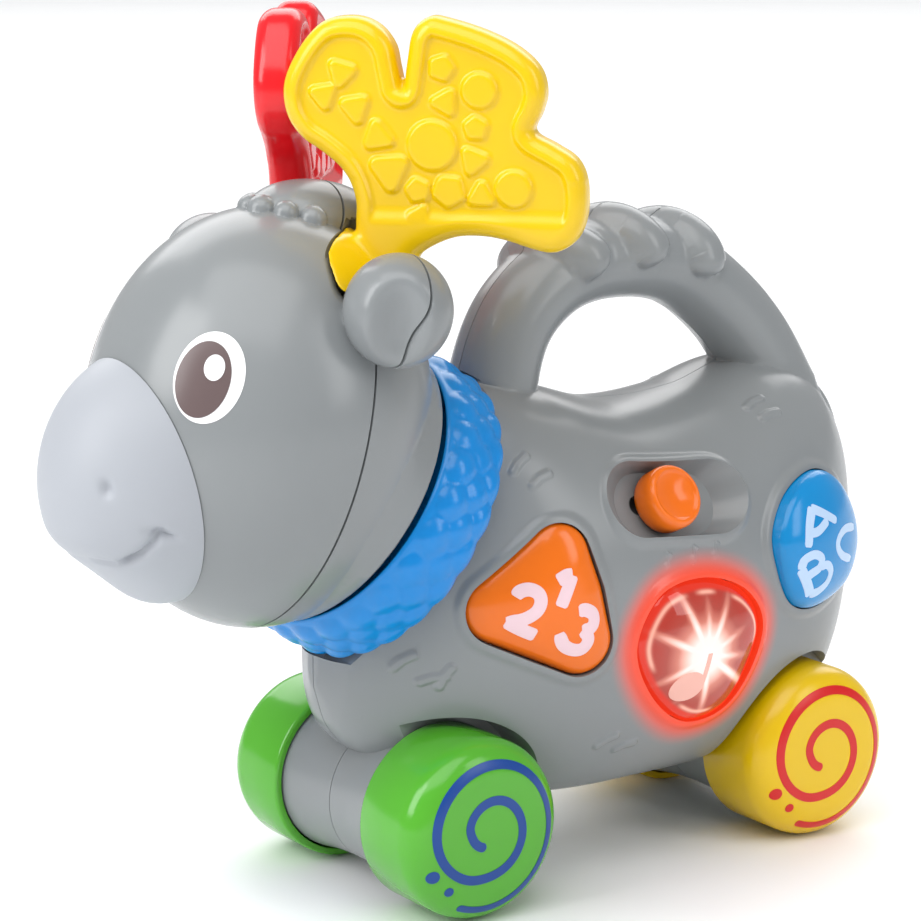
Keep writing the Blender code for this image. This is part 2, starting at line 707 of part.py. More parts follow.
def build_body():
    """The two body shells with handle, tail, wells, control seats and screw bosses."""
    outer = torso("body", 0.0, 28, 20)
    handle = swept("handle", HANDLE, HANDLE_IN_PLANE, HANDLE_LATERAL, 14, 15, HANDLE_FLARE)
    tail = ellipsoid("tail", TAIL_CENTRE, TAIL_SEMI, TAIL_LEAN, 12, 6)
    combine(outer, "UNION", [handle, tail])
    cuts = wells(0.0, WELL_INNER_Y)
    collar_room = COLLAR_DIAMETER / 2 + RUN_GAP + REST_GAP
    cuts.append(cylinder("neck_room", collar_room, -NECK_WALL_AT, FAR, NECK, 36))
    cuts.append(block("belly_cut", (-FAR, -FAR, -FAR), (FAR, FAR, BELLY_Z)))
    combine(outer, "DIFFERENCE", cuts)
    barrels = [
        wheel_barrel("barrel_front", FRONT_AXLE, 0.0, BARREL_END_Y),
        wheel_barrel("barrel_rear", REAR_AXLE, 0.0, BARREL_END_Y),
    ]
    combine(outer, "UNION", barrels)

    hollow = torso("hollow", SHELL_WALL, 14, 9)
    extra = [
        wheel_barrel("hollow_front", FRONT_AXLE, SHELL_WALL, BARREL_END_Y - SHELL_WALL),
        wheel_barrel("hollow_rear", REAR_AXLE, SHELL_WALL, BARREL_END_Y - SHELL_WALL),
        swept("hollow_handle", HANDLE, HANDLE_IN_PLANE - SHELL_WALL, HANDLE_LATERAL - SHELL_WALL, 8, 9),
    ]
    combine(hollow, "UNION", extra)
    bosses = wells(SHELL_WALL, WELL_INNER_Y - SHELL_WALL)
    bosses.append(cylinder("neck_boss", FAR / 2, -NECK_WALL_AT - SHELL_WALL, FAR, NECK, 12))
    bosses.append(block("belly_boss", (-FAR, -FAR, -FAR), (FAR, FAR, FLOOR_TOP)))
    for key in BUTTONS:
        outline = button_outline(key, BOSS_GROW)
        deep = PLATE_DEPTH + PLATE_THICK
        bosses.append(prism("seat_boss", outline, -deep, PAST_CONTROL, button_frame(key)))
    slot = stadium(SLIDER_LENGTH, SLIDER_HEIGHT, 0.0018)
    bosses.append(prism("slider_boss", slot, -SLIDER_FLOOR - SLIDER_FLOOR_THICK, PAST_CONTROL, SLIDER))
    speaker_boss = SPEAKER_RADIUS + 0.0016
    bosses.append(cylinder("speaker_boss", speaker_boss, SPEAKER_SEAT_Y, PAST_FLANK, SPEAKER_FRAME, 24))
    for x, z in BODY_SCREWS:
        place = side_frame(x, z, 1.0)
        bosses.append(cylinder("screw_boss", SCREW_BOSS_RADIUS, -PAST_FLANK, PAST_FLANK, place, 8))
    for x, z in BOARD_POSTS:
        low = BOARD_Y + BOARD_THICK + REST_GAP
        bosses.append(cylinder("board_post", POST_RADIUS, low, PAST_FLANK, side_frame(x, z, 1.0), 8))
    combine(hollow, "DIFFERENCE", bosses)

    holes = [hollow]
    spigot_room = NECK_DIAMETER / 2 - NECK_BODY_STEP + REST_GAP
    holes.append(cylinder("neck_hole", spigot_room, -NECK_HOLE_DEPTH, FAR, NECK, 24))
    for key in BUTTONS:
        place = button_frame(key)
        opening = button_outline(key, CAP_GAP)
        holes.append(prism("opening", opening, -LEDGE_DEPTH - OVERCUT, PAST_CONTROL, place))
        pocket = button_outline(key, POCKET_GROW)
        holes.append(prism("pocket", pocket, -PLATE_DEPTH - 2 * OVERCUT, -LEDGE_DEPTH, place))
    slot = stadium(SLIDER_LENGTH, SLIDER_HEIGHT)
    holes.append(prism("slider_recess", slot, -SLIDER_FLOOR, PAST_CONTROL, SLIDER))
    slot = stadium(SLIDER_TRAVEL + SLOT_WIDTH + OVERCUT, SLOT_WIDTH)
    holes.append(prism("slider_slot", slot, -SLIDER_SLOT_DEPTH, 0.0, SLIDER))
    chamber = SPEAKER_SEAT_Y + SPEAKER_CHAMBER
    room = SPEAKER_RADIUS * (1 - SPEAKER_RIM)
    holes.append(cylinder("speaker_room", room, SPEAKER_SEAT_Y - OVERCUT, chamber, SPEAKER_FRAME, 24))
    for ring, count in ((0.0, 1), (GRILLE_RING, 6)):
        for k in range(count):
            turn = 2 * math.pi * k / count
            x = SPEAKER_AT[0] + ring * math.cos(turn)
            z = SPEAKER_AT[1] + ring * math.sin(turn)
            place = side_frame(x, z, 1.0)
            holes.append(cylinder("grille", GRILLE_HOLE_RADIUS, chamber - OVERCUT, PAST_FLANK, place, 6))
    for axle in (FRONT_AXLE, REAR_AXLE):
        place = side_frame(*axle, 1.0)
        holes.append(cylinder("bush_hole", BUSH_RADIUS + REST_GAP, -PAST_CONTROL, PAST_CONTROL, place, 12))
    for x, z in BODY_SCREWS:
        place = side_frame(x, z, 1.0)
        holes.append(cylinder("pilot", SCREW_SHANK_RADIUS + REST_GAP, -SCREW_REACH - OVERCUT, 0.01, place, 8))
        holes.append(cylinder("head_bore", SCREW_HEAD_RADIUS + REST_GAP, SCREW_SEAT_Y, PAST_FLANK, place, 10))
    half_x = BAY_LENGTH / 2
    half_y = BAY_WIDTH / 2
    holes.append(
        block("door_hole", (BAY_X - half_x, -half_y, 0.0), (BAY_X + half_x, half_y, FLOOR_TOP + OVERCUT))
    )
    room = TRAY_WALL + REST_GAP
    holes.append(
        block(
            "tray_room",
            (BAY_X - half_x - room, -half_y - room, FLOOR_TOP),
            (BAY_X + half_x + room, half_y + room, TRAY_TOP + REST_GAP),
        )
    )
    combine(outer, "DIFFERENCE", holes)

    right = copy_of(outer, "right")
    combine(outer, "INTERSECT", [block("half", (-FAR, -FAR, -FAR), (FAR * 2, -REST_GAP / 2, FAR * 2))])
    combine(right, "INTERSECT", [block("half", (-FAR, REST_GAP / 2, -FAR), (FAR * 2, FAR, FAR * 2))])
    settle(outer, "body_shell_left", "grey_abs")
    settle(right, "body_shell_right", "grey_abs")


def build_head():
    """The two head shells with ears and tuft, and the soft muzzle on their front."""
    semi = (HEAD_LENGTH / 2, HEAD_WIDTH / 2, HEAD_HEIGHT / 2)
    skull = ellipsoid("skull", HEAD_CENTRE, semi, HEAD_LEAN, 30, 14)
    ear = ellipsoid("ear", EAR_CENTRE, EAR_SEMI, EAR_LEAN, 14, 8)
    parts = [ear, mirrored(ear, "ear_other")]
    parts.append(ellipsoid("tuft", TUFT_CENTRE, TUFT_SEMI, TUFT_LEAN, 12, 7))
    combine(skull, "UNION", parts)

    inner = tuple(s - SHELL_WALL for s in semi)
    hollow = ellipsoid("hollow", HEAD_CENTRE, inner, HEAD_LEAN, 16, 8)
    bosses = [cylinder("neck_boss", FAR / 2, -FAR, NECK_WALL_AT + SHELL_WALL, NECK, 12)]
    housing = DRUM_RADIUS + RUN_GAP + 0.0018
    deep = ANTLER_THICKNESS / 2 + RUN_GAP + 0.0018
    for side in (-1.0, 1.0):
        bosses.append(cylinder("housing", housing, -deep, deep, antler_frame(side), 20))
    seam = seam_frame()
    for y, up in HEAD_SCREWS:
        place = seam @ Matrix.Translation((y, up, 0.0))
        bosses.append(cylinder("screw_boss", SCREW_BOSS_RADIUS, -PAST_FLANK, PAST_FLANK, place, 8))
    combine(hollow, "DIFFERENCE", bosses)

    holes = [hollow]
    holes.append(cylinder("neck_cut", FAR / 2, -FAR, NECK_WALL_AT, NECK, 12))
    spigot_room = NECK_DIAMETER / 2 - NECK_HEAD_STEP + REST_GAP
    holes.append(cylinder("neck_hole", spigot_room, -FAR, 2 * NECK_WALL_AT, NECK, 24))
    for side in (-1.0, 1.0):
        place = antler_frame(side)
        half = ANTLER_THICKNESS / 2 + RUN_GAP
        holes.append(cylinder("drum_room", DRUM_RADIUS + RUN_GAP, -half, half, place, 24))
        holes.append(cylinder("pin_hole", PIN_RADIUS + REST_GAP, -deep - 0.002, deep + 0.002, place, 10))
    for y, up in HEAD_SCREWS:
        place = seam @ Matrix.Translation((y, up, 0.0))
        holes.append(cylinder("pilot", SCREW_SHANK_RADIUS + REST_GAP, -0.01, SCREW_REACH + OVERCUT, place, 8))
        head_room = SCREW_HEAD_RADIUS + REST_GAP
        holes.append(cylinder("head_bore", head_room, -PAST_FLANK, -SCREW_SEAT_Y, place, 10))
    combine(skull, "DIFFERENCE", holes)
    rear = copy_of(skull, "rear")
    half = PAST_FLANK
    outline = [(-half, -half), (half, -half), (half, half), (-half, half)]
    combine(skull, "INTERSECT", [prism("front_half", outline, REST_GAP / 2, FAR, seam)])
    combine(rear, "INTERSECT", [prism("rear_half", outline, -FAR, -REST_GAP / 2, seam)])
    settle(skull, "head_shell_front", "grey_abs")
    settle(rear, "head_shell_rear", "grey_abs")

    size = (MUZZLE_LENGTH / 2, MUZZLE_WIDTH / 2, MUZZLE_HEIGHT / 2)
    muzzle = ellipsoid("muzzle", MUZZLE_CENTRE, size, MUZZLE_LEAN, 26, 12)
    thin = tuple(s - 0.0028 for s in size)
    grown = tuple(s + REST_GAP + 0.0002 for s in semi)
    inside = ellipsoid("inside", MUZZLE_CENTRE, thin, MUZZLE_LEAN, 14, 8)
    face = ellipsoid("face", HEAD_CENTRE, grown, HEAD_LEAN, 30, 14)
    combine(muzzle, "DIFFERENCE", [inside, face])
    settle(muzzle, "muzzle", "pale_grey_soft")


def seam_frame():
    """A frame on the head's parting plane: Z forward out of it, Y up along it."""
    forward = Vector((-math.cos(SEAM_LEAN), 0.0, math.sin(SEAM_LEAN)))
    return frame_on(SEAM_POINT, forward, (0.0, 0.0, 1.0))


def build_neck():
    """The neck spool, its bolt and nut, and the collar that turns on it."""
    core = NECK_DIAMETER / 2
    reach = NECK_WALL_AT - REST_GAP
    body_end = -NECK_WALL_AT - SHELL_WALL - NECK_LIP
    head_end = NECK_WALL_AT + SHELL_WALL + NECK_LIP
    shank = BOLT_DIAMETER / 2
    bore = shank + REST_GAP
    spigot_body = core - NECK_BODY_STEP
    spigot_head = core - NECK_HEAD_STEP
    profile = [
        (bore, body_end),
        (spigot_body, body_end),
        (spigot_body, -reach),
        (core, -reach),
        (core, reach),
        (spigot_head, reach),
        (spigot_head, head_end),
        (bore, head_end),
    ]
    settle(turned("neck", profile, NECK, 24), "neck_spool", "dark_plastic")
    nut_low = body_end - REST_GAP - NUT_THICK
    bolt_tip = nut_low - BOLT_DIAMETER * 0.6
    under_head = head_end + REST_GAP
    head_radius = BOLT_HEAD_DIAMETER / 2
    bolt = [
        (0.0, bolt_tip),
        (shank, bolt_tip),
        (shank, under_head),
        (head_radius, under_head),
        (head_radius, under_head + BOLT_HEAD_THICK * 0.87),
        (0.0, under_head + BOLT_HEAD_THICK),
    ]
    settle(turned("bolt", bolt, NECK, 12), "neck_bolt", "steel")
    nut = tube("nut", head_radius - REST_GAP, bore, nut_low, body_end - REST_GAP, NECK, 6)
    settle(nut, "neck_nut", "steel")
    outer = COLLAR_DIAMETER / 2
    inner = core + RUN_GAP
    profile = [
        (inner, -COLLAR_HALF * 0.8),
        (inner + 0.004, -COLLAR_HALF),
        (outer - 0.006, -COLLAR_HALF),
        (outer - 0.0018, -COLLAR_HALF * 0.72),
        (outer, -COLLAR_HALF * 0.2),
        (outer, COLLAR_HALF * 0.2),
        (outer - 0.0018, COLLAR_HALF * 0.72),
        (outer - 0.006, COLLAR_HALF),
        (inner + 0.004, COLLAR_HALF),
        (inner, COLLAR_HALF * 0.8),
    ]
    settle(turned("collar", profile, NECK, 36), "collar", "blue_plastic", NECK_CENTRE)


def smooth_outline(corners, per_side):
    """A closed smooth curve through the corners."""
    count = len(corners)
    outline = []
    for k in range(count):
        a, b, c, d = (Vector(corners[(k + i) % count]) for i in (-1, 0, 1, 2))
        for s in range(per_side):
            t = s / per_side
            point = b + (c - a) * (t / 2)
            point = point + (a * 2 - b * 5 + c * 4 - d) * (t * t / 2)
            point = point + (b * 3 - a - c * 3 + d) * (t * t * t / 2)
            outline.append(point)
    return outline


def inset_outline(outline, distance):
    """The outline moved inwards along its own normals."""
    count = len(outline)
    area = sum(outline[k - 1].cross(outline[k]) for k in range(count))
    sign = 1.0 if area > 0 else -1.0
    moved = []
    for k in range(count):
        along = (outline[(k + 1) % count] - outline[k - 1]).normalized()
        moved.append(outline[k] + Vector((-along.y, along.x)) * (sign * distance))
    return moved


def build_antlers():
    """Each antler: a rounded palm on a drum that rocks on a pin inside the head."""
    half = ANTLER_THICKNESS / 2
    edge = ANTLER_EDGE_ROUND
    outline = smooth_outline([(u - ANTLER_PIVOT_SHIFT, w) for u, w in ANTLER_OUTLINE], 1)
    layers = []
    for turn in (0.0, 45.0, 90.0):
        drop = edge * (1 - math.cos(math.radians(turn)))
        draw = edge * (1 - math.sin(math.radians(turn)))
        layers.append((half - drop, draw))
    layers = layers + [(-h, d) for h, d in reversed(layers)]
    deep = half + RUN_GAP + 0.0018 - REST_GAP
    for side, name, colour in ((-1.0, "left", "yellow_plastic"), (1.0, "right", "red_plastic")):
        place = antler_frame(side)
        rings = []
        for height, draw in layers:
            rings.append([place @ Vector((p.x, p.y, height)) for p in inset_outline(outline, draw)])
        palm = bare_loft("palm", rings)
        drum = [
            (0.0, -half),
            (DRUM_RADIUS - 0.0015, -half),
            (DRUM_RADIUS, -half + 0.0015),
            (DRUM_RADIUS, half - 0.0015),
            (DRUM_RADIUS - 0.0015, half),
            (0.0, half),
        ]
        combine(palm, "UNION", [turned("drum", drum, place, 24)])
        combine(palm, "DIFFERENCE", [cylinder("bore", PIN_RADIUS + REST_GAP, -0.02, 0.02, place, 10)])
        settle(palm, "antler_" + name, colour, place.translation)
        settle(cylinder("pin", PIN_RADIUS, -deep, deep, place, 10), "antler_pin_" + name, "steel")


def bare_loft(name, rings):
    """A loft whose ends are single flat faces, for outlines with hollows in them."""
    count = len(rings[0])
    points = [p for ring in rings for p in ring]
    faces = [tuple(range(count)), tuple(range((len(rings) - 1) * count, len(rings) * count))[::-1]]
    for r in range(len(rings) - 1):
        for k in range(count):
            a = r * count + k
            b = r * count + (k + 1) % count
            faces.append((a, b, b + count, a + count))
    return mesh_object(name, points, faces)


def build_wheels():
    """Four cup wheels, two steel axles and four nylon bushes."""
    radius = WHEEL_RADIUS
    width = WHEEL_WIDTH
    rim = radius - WHEEL_WALL
    hub = 0.0062
    hub_low = BARREL_END_Y - WHEEL_INNER_Y + 0.0016
    bore = AXLE_RADIUS + REST_GAP / 2
    blind = width - 0.0045
    profile = [
        (0.0, width + 0.0008),
        (0.5 * radius, width + 0.0005),
        (0.80 * radius, width - 0.0002),
        (0.925 * radius, width - 0.0013),
        (0.975 * radius, width - 0.0032),
        (radius, width - 0.0080),
        (radius, 0.0007),
        (radius - 0.0007, 0.0),
        (rim, 0.0),
        (rim - 0.0004, width - 0.0085),
        (0.80 * radius, width - 0.0042),
        (hub, width - 0.0034),
        (hub, hub_low),
        (bore, hub_low),
        (bore, blind),
        (0.0, blind),
    ]
    sets = (("front", FRONT_AXLE, "green_plastic"), ("rear", REAR_AXLE, "yellow_plastic"))
    for end, axle, colour in sets:
        centre = (axle[0], 0.0, axle[1])
        for side, name in ((-1.0, "left"), (1.0, "right")):
            place = side_frame(axle[0], axle[1], side) @ Matrix.Translation((0.0, 0.0, WHEEL_INNER_Y))
            made = turned("wheel", profile, place, 32)
            settle(made, "wheel_" + end + "_" + name, colour, centre)
            bush_place = side_frame(axle[0], axle[1], side)
            outer_end = BARREL_END_Y + RUN_GAP
            inner_end = outer_end - BUSH_LENGTH
            bush = tube("bush", BUSH_RADIUS, AXLE_RADIUS + REST_GAP, inner_end, outer_end, bush_place, 12)
            settle(bush, "axle_bush_" + end + "_" + name, "white_nylon")
        tip = WHEEL_INNER_Y + blind - REST_GAP
        axle_made = cylinder("axle", AXLE_RADIUS, -tip, tip, side_frame(axle[0], axle[1], 1.0), 12)
        settle(axle_made, "axle_" + end, "steel", centre)


def build_controls():
    """The three push buttons with their pads and plates, the lamp and the volume slider."""
    looks = {"number": "orange_plastic", "letter": "sky_plastic", "lamp": "red_lens"}
    rims = {"number": (-0.0022, 0.0030), "letter": (-0.0022, 0.0036), "lamp": (-0.0020, 0.0052)}
    for key in BUTTONS:
        place = button_frame(key)
        rim, crown = rims[key]
        cap = domed_cap("cap", button_outline(key, 0.0), -SEAT_DEPTH + 0.0004, rim, crown, place)
        outline = button_outline(key, FLANGE_GROW)
        flange = prism("flange", outline, -SEAT_DEPTH, -LEDGE_DEPTH - REST_GAP, place)
        combine(cap, "UNION", [flange])
        if key == "lamp":
            outline = button_outline(key, -LENS_WALL)
            inner = domed_cap("inner", outline, -PAST_CONTROL, rim - LENS_WALL, crown - LENS_WALL, place)
            combine(cap, "DIFFERENCE", [inner])
        settle(cap, key + "_button", looks[key], place.translation)
        outline = button_outline(key, POCKET_GROW - REST_GAP)
        plate = prism("plate", outline, -PLATE_DEPTH - PLATE_THICK, -PLATE_DEPTH, place)
        settle(plate, key + "_switch_board", "board_green")
        if key == "lamp":
            continue
        low = -PLATE_DEPTH + REST_GAP
        profile = [
            (0.0, low),
            (0.005, low),
            (0.005, low + PAD_HEIGHT / 2),
            (0.0032, low + PAD_HEIGHT),
            (0.0, low + PAD_HEIGHT),
        ]
        settle(turned("pad", profile, place, 14), key + "_switch_pad", "pad_rubber")
    place = button_frame("lamp")
    low = -PLATE_DEPTH + REST_GAP
    profile = [
        (0.0, low),
        (0.0029, low),
        (0.0029, low + 0.001),
        (0.0025, low + 0.001),
        (0.0025, low + 0.0045),
        (0.0018, low + 0.0062),
        (0.0, low + 0.007),
    ]
    settle(turned("lamp", profile, place, 12), "lamp_led", "lamp_epoxy")

    at = SLIDER @ Matrix.Translation((SLIDER_REST, 0.0, 0.0))
    radius = KNOB_DIAMETER / 2
    floor = -SLIDER_FLOOR + RUN_GAP
    behind = -SLIDER_FLOOR - SLIDER_FLOOR_THICK - RUN_GAP
    stem_end = behind - CLIP_THICK - STEM_PAST_CLIP
    knob_profile = [
        (0.0, stem_end),
        (STEM_RADIUS, stem_end),
        (STEM_RADIUS, floor),
        (radius * 0.86, floor),
        (radius, floor + 0.0030),
        (radius, floor + 0.0065),
        (radius * 0.92, floor + 0.0090),
        (radius * 0.66, floor + 0.0104),
        (radius * 0.40, floor + 0.0098),
        (0.0, floor + 0.0090),
    ]
    knob = turned("knob", knob_profile, at, 20)
    settle(knob, "volume_slider", "orange_plastic", at.translation)
    clip = tube("clip", CLIP_RADIUS, STEM_RADIUS + REST_GAP, behind - CLIP_THICK, behind, at, 12)
    settle(clip, "slider_clip", "dark_plastic", at.translation)
    switch_top = behind - CLIP_THICK - RUN_GAP - REST_GAP
    half = SLIDER_TRAVEL / 2 + CLIP_RADIUS
    wide = SWITCH_WIDTH / 2
    outline = [(-half, -wide), (half, -wide), (half, wide), (-half, wide)]
    switch = prism("switch", outline, switch_top - SWITCH_THICK, switch_top, SLIDER)
    settle(switch, "slide_switch", "dark_plastic")


def build_inside():
    """Cells, tray, door, main board, speaker and the screws."""
    half_x = BAY_LENGTH / 2
    half_y = BAY_WIDTH / 2
    low = (BAY_X - half_x - TRAY_WALL, -half_y - TRAY_WALL, TRAY_BOTTOM)
    high = (BAY_X + half_x + TRAY_WALL, half_y + TRAY_WALL, TRAY_TOP)
    tray = block("tray", low, high)
    room = block("room", (BAY_X - half_x, -half_y, 0.0), (BAY_X + half_x, half_y, TRAY_TOP - TRAY_WALL))
    combine(tray, "DIFFERENCE", [room])
    settle(tray, "battery_tray", "dark_plastic")
    door = block(
        "door",
        (BAY_X - half_x + REST_GAP, -half_y + REST_GAP, BELLY_Z),
        (BAY_X + half_x - REST_GAP, half_y - REST_GAP, BELLY_Z + DOOR_THICK),
    )
    screw_x = BAY_X + half_x - 0.0045
    screw_place = Matrix.Translation((screw_x, 0.0, 0.0))
    hole = cylinder("hole", SCREW_HEAD_RADIUS + REST_GAP, 0.0, BELLY_Z + 0.0012, screw_place, 12)
    shank_hole = cylinder("hole", SCREW_SHANK_RADIUS + REST_GAP, 0.0, 0.05, screw_place, 8)
    combine(door, "DIFFERENCE", [hole, shank_hole])
    settle(door, "battery_door", "grey_abs")
    screw = [
        (0.0, BELLY_Z + 0.0001),
        (SCREW_HEAD_RADIUS, BELLY_Z + 0.0001),
        (SCREW_HEAD_RADIUS, BELLY_Z + 0.0012 - REST_GAP),
        (SCREW_SHANK_RADIUS, BELLY_Z + 0.0012 - REST_GAP),
        (SCREW_SHANK_RADIUS, BELLY_Z + DOOR_THICK + 0.0002),
        (0.0, BELLY_Z + DOOR_THICK + 0.0002),
    ]
    settle(turned("screw", screw, screw_place, 12), "battery_door_screw", "steel")

    pitch = CELL_DIAMETER + 0.0004
    for k in range(CELL_COUNT):
        y = (k - (CELL_COUNT - 1) / 2) * pitch
        way = 1.0 if k % 2 else -1.0
        place = frame_on((BAY_X, y, CELL_Z), (way, 0.0, 0.0), (0.0, 0.0, 1.0))
        body = CELL_DIAMETER / 2
        end = CELL_LENGTH / 2
        profile = [
            (0.0, -end), (body, -end), (body, end - 0.0010), (0.0019, end - 0.0010), (0.0019, end), (0.0, end)
        ]
        settle(turned("cell", profile, place, 14), "battery_cell_%d" % (k + 1), "cell_wrap")
    for end, name in ((-1.0, "front"), (1.0, "rear")):
        far = BAY_X + end * (half_x - REST_GAP)
        near = far - end * 0.0006
        strip = block(
            "strip",
            (min(far, near), -half_y + 0.001, TRAY_BOTTOM + 0.001),
            (max(far, near), half_y - 0.001, TRAY_TOP - TRAY_WALL - REST_GAP),
        )
        settle(strip, "battery_contact_" + name, "steel")

    xs = [p[0] for p in BOARD_POSTS]
    zs = [p[1] for p in BOARD_POSTS]
    edge = 0.004
    board = block(
        "board",
        (min(xs) - edge, BOARD_Y, min(zs) - edge),
        (max(xs) + edge, BOARD_Y + BOARD_THICK, max(zs) + edge),
    )
    settle(board, "main_board", "board_green")
    chip = block(
        "chip",
        (BAY_X - 0.007, BOARD_Y - 0.0014 - REST_GAP, 0.083),
        (BAY_X + 0.007, BOARD_Y - REST_GAP, 0.097),
    )
    settle(chip, "sound_chip", "dark_plastic")

    seat = SPEAKER_SEAT_Y - REST_GAP
    big = SPEAKER_RADIUS
    frame = [
        (0.0, seat - 0.625 * big),
        (0.525 * big, seat - 0.625 * big),
        (0.525 * big, seat - 0.375 * big),
        (0.85 * big, seat - 0.09 * big),
        (big, seat - 0.06 * big),
        (big, seat),
        (0.775 * big, seat),
        (0.75 * big, seat - 0.08 * big),
        (0.30 * big, seat - 0.33 * big),
        (0.0, seat - 0.33 * big),
    ]
    settle(turned("speaker", frame, SPEAKER_FRAME, 20), "speaker", "steel")
    cone = [
        (0.0, seat - 0.31 * big),
        (0.275 * big, seat - 0.31 * big),
        (0.735 * big, seat - 0.06 * big),
        (0.735 * big, seat - 0.03 * big),
        (0.275 * big, seat - 0.27 * big),
        (0.0, seat - 0.25 * big),
    ]
    settle(turned("cone", cone, SPEAKER_FRAME, 18), "speaker_cone", "cone_paper")

    for k, (x, z) in enumerate(BODY_SCREWS):
        place = side_frame(x, z, 1.0)
        settle(screw_shape(place), "body_screw_%d" % (k + 1), "steel")
    seam = seam_frame()
    for k, (y, up) in enumerate(HEAD_SCREWS):
        place = seam @ Matrix.Translation((y, up, 0.0)) @ Matrix.Rotation(math.pi, 4, "X")
        settle(screw_shape(place), "head_screw_%d" % (k + 1), "steel")


def screw_shape(place):
    """A pan-head screw that comes from +Z and reaches past the parting plane at Z = 0."""
    low = SCREW_SEAT_Y + REST_GAP
    profile = [
        (0.0, -SCREW_REACH),
        (SCREW_SHANK_RADIUS * 0.6, -SCREW_REACH),
        (SCREW_SHANK_RADIUS, -SCREW_REACH + 0.0015),
        (SCREW_SHANK_RADIUS, low),
        (SCREW_HEAD_RADIUS, low),
        (SCREW_HEAD_RADIUS, low + SCREW_HEAD_THICK * 0.6),
        (SCREW_HEAD_RADIUS * 0.6, low + SCREW_HEAD_THICK),
        (0.0, low + SCREW_HEAD_THICK),
    ]
    return turned("screw", profile, place, 8)


build_body()
build_head()
build_neck()
build_antlers()
build_wheels()
build_controls()
build_inside()
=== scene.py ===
# %% [markdown]
# # A push-along toy moose
# The toy is a baby's first push-along animal: two glossy grey body halves with a loop handle, a round head
# with a soft pale muzzle, a yellow and a red antler, a blue collar, four fat wheels and big buttons.
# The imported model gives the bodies, the nodes and the joints, all in metres. It faces -X and stands on Z = 0.

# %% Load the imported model
import json
import math

import bpy
import numpy as np
from mathutils import Matrix, Vector

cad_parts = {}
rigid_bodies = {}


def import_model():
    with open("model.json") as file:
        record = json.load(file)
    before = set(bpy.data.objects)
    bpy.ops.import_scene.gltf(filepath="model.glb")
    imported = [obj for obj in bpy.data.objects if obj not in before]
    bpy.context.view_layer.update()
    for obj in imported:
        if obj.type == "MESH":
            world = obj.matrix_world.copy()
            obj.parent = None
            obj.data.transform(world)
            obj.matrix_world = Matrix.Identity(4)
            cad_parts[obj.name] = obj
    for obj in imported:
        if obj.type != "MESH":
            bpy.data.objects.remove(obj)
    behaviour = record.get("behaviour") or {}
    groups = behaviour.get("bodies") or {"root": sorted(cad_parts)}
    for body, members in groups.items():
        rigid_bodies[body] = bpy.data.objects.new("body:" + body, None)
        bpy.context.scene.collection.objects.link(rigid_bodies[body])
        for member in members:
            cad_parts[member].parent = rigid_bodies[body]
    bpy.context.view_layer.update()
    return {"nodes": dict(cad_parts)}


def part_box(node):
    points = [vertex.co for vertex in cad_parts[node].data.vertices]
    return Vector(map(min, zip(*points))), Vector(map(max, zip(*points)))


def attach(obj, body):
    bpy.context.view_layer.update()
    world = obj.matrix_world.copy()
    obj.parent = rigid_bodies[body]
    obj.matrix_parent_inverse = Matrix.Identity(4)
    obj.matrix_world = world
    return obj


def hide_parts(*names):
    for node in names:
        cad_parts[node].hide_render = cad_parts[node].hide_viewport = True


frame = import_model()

# %% [markdown]
# ## Camera, floor and light
# The picture was taken a little above the toy, from its front left. A long lens keeps the proportions calm.
# The floor is one large pale sheet, and three soft boxes stand round the toy as in a small product studio:
# their square reflections are what makes moulded plastic look glossy. A fourth, far behind, lights the floor.

# %% Camera
AZIMUTH = math.radians(-35.388)
ELEVATION = math.radians(12.349)
TARGET = Vector((-0.00503, 0.0, 0.12494))
DISTANCE = 0.92582
level = math.cos(ELEVATION)
towards_camera = Vector((math.sin(AZIMUTH) * level, -math.cos(AZIMUTH) * level, math.sin(ELEVATION)))
bpy.ops.object.camera_add(
    location=TARGET + towards_camera * DISTANCE,
    rotation=towards_camera.to_track_quat("Z", "Y").to_euler(),
)
camera = bpy.context.object
camera.data.sensor_width = 36.0
camera.data.lens = 121.27
camera.data.clip_start = 0.05
bpy.context.scene.camera = camera
bpy.context.scene.view_settings.view_transform = "Standard"

# %% Soft boxes and sky
def soft_box(name, turn, rise, distance, size, power):
    """A rectangular lamp, its turn counted from the camera's own azimuth."""
    a = AZIMUTH + math.radians(turn)
    e = math.radians(rise)
    way = Vector((math.sin(a) * math.cos(e), -math.cos(a) * math.cos(e), math.sin(e)))
    bpy.ops.object.light_add(
        type="AREA",
        location=TARGET + way * distance,
        rotation=way.to_track_quat("Z", "Y").to_euler(),
    )
    lamp = bpy.context.object
    lamp.name = name
    lamp.data.shape = "RECTANGLE"
    lamp.data.size, lamp.data.size_y = size
    lamp.data.energy = power


soft_box("box_left", -62, 30, 1.5, (0.7, 1.0), 12)
soft_box("box_right", 60, 26, 1.6, (0.5, 1.1), 5)
soft_box("box_top", -14, 62, 1.6, (1.7, 1.3), 17)
soft_box("box_far_floor", 180, 40, 4.2, (6.0, 3.0), 150)
sky = bpy.data.worlds.new("studio")
sky.use_nodes = True
sky.node_tree.nodes["Background"].inputs["Color"].default_value = (1.0, 1.0, 1.0, 1.0)
sky.node_tree.nodes["Background"].inputs["Strength"].default_value = 0.40
bpy.context.scene.world = sky

# %% [markdown]
# ## Materials
# Moulded plastic is never one flat colour. Flow in the mould leaves faint clouds, the polish varies from
# place to place, and the skin has a very fine orange peel. Each finish below is the same small node tree:
# a wide noise tints the colour, a second one moves the roughness and a fine third one drives the bump.
# All of them read Object coordinates, so the grain stays put when a joint moves the piece.

# %% Finishes
def linear(*rgb):
    """A colour picked from a screen, 0 to 255, as the linear values a shader takes."""
    return tuple((c / 255 / 12.92) if c < 11 else ((c / 255 + 0.055) / 1.055) ** 2.4 for c in rgb)


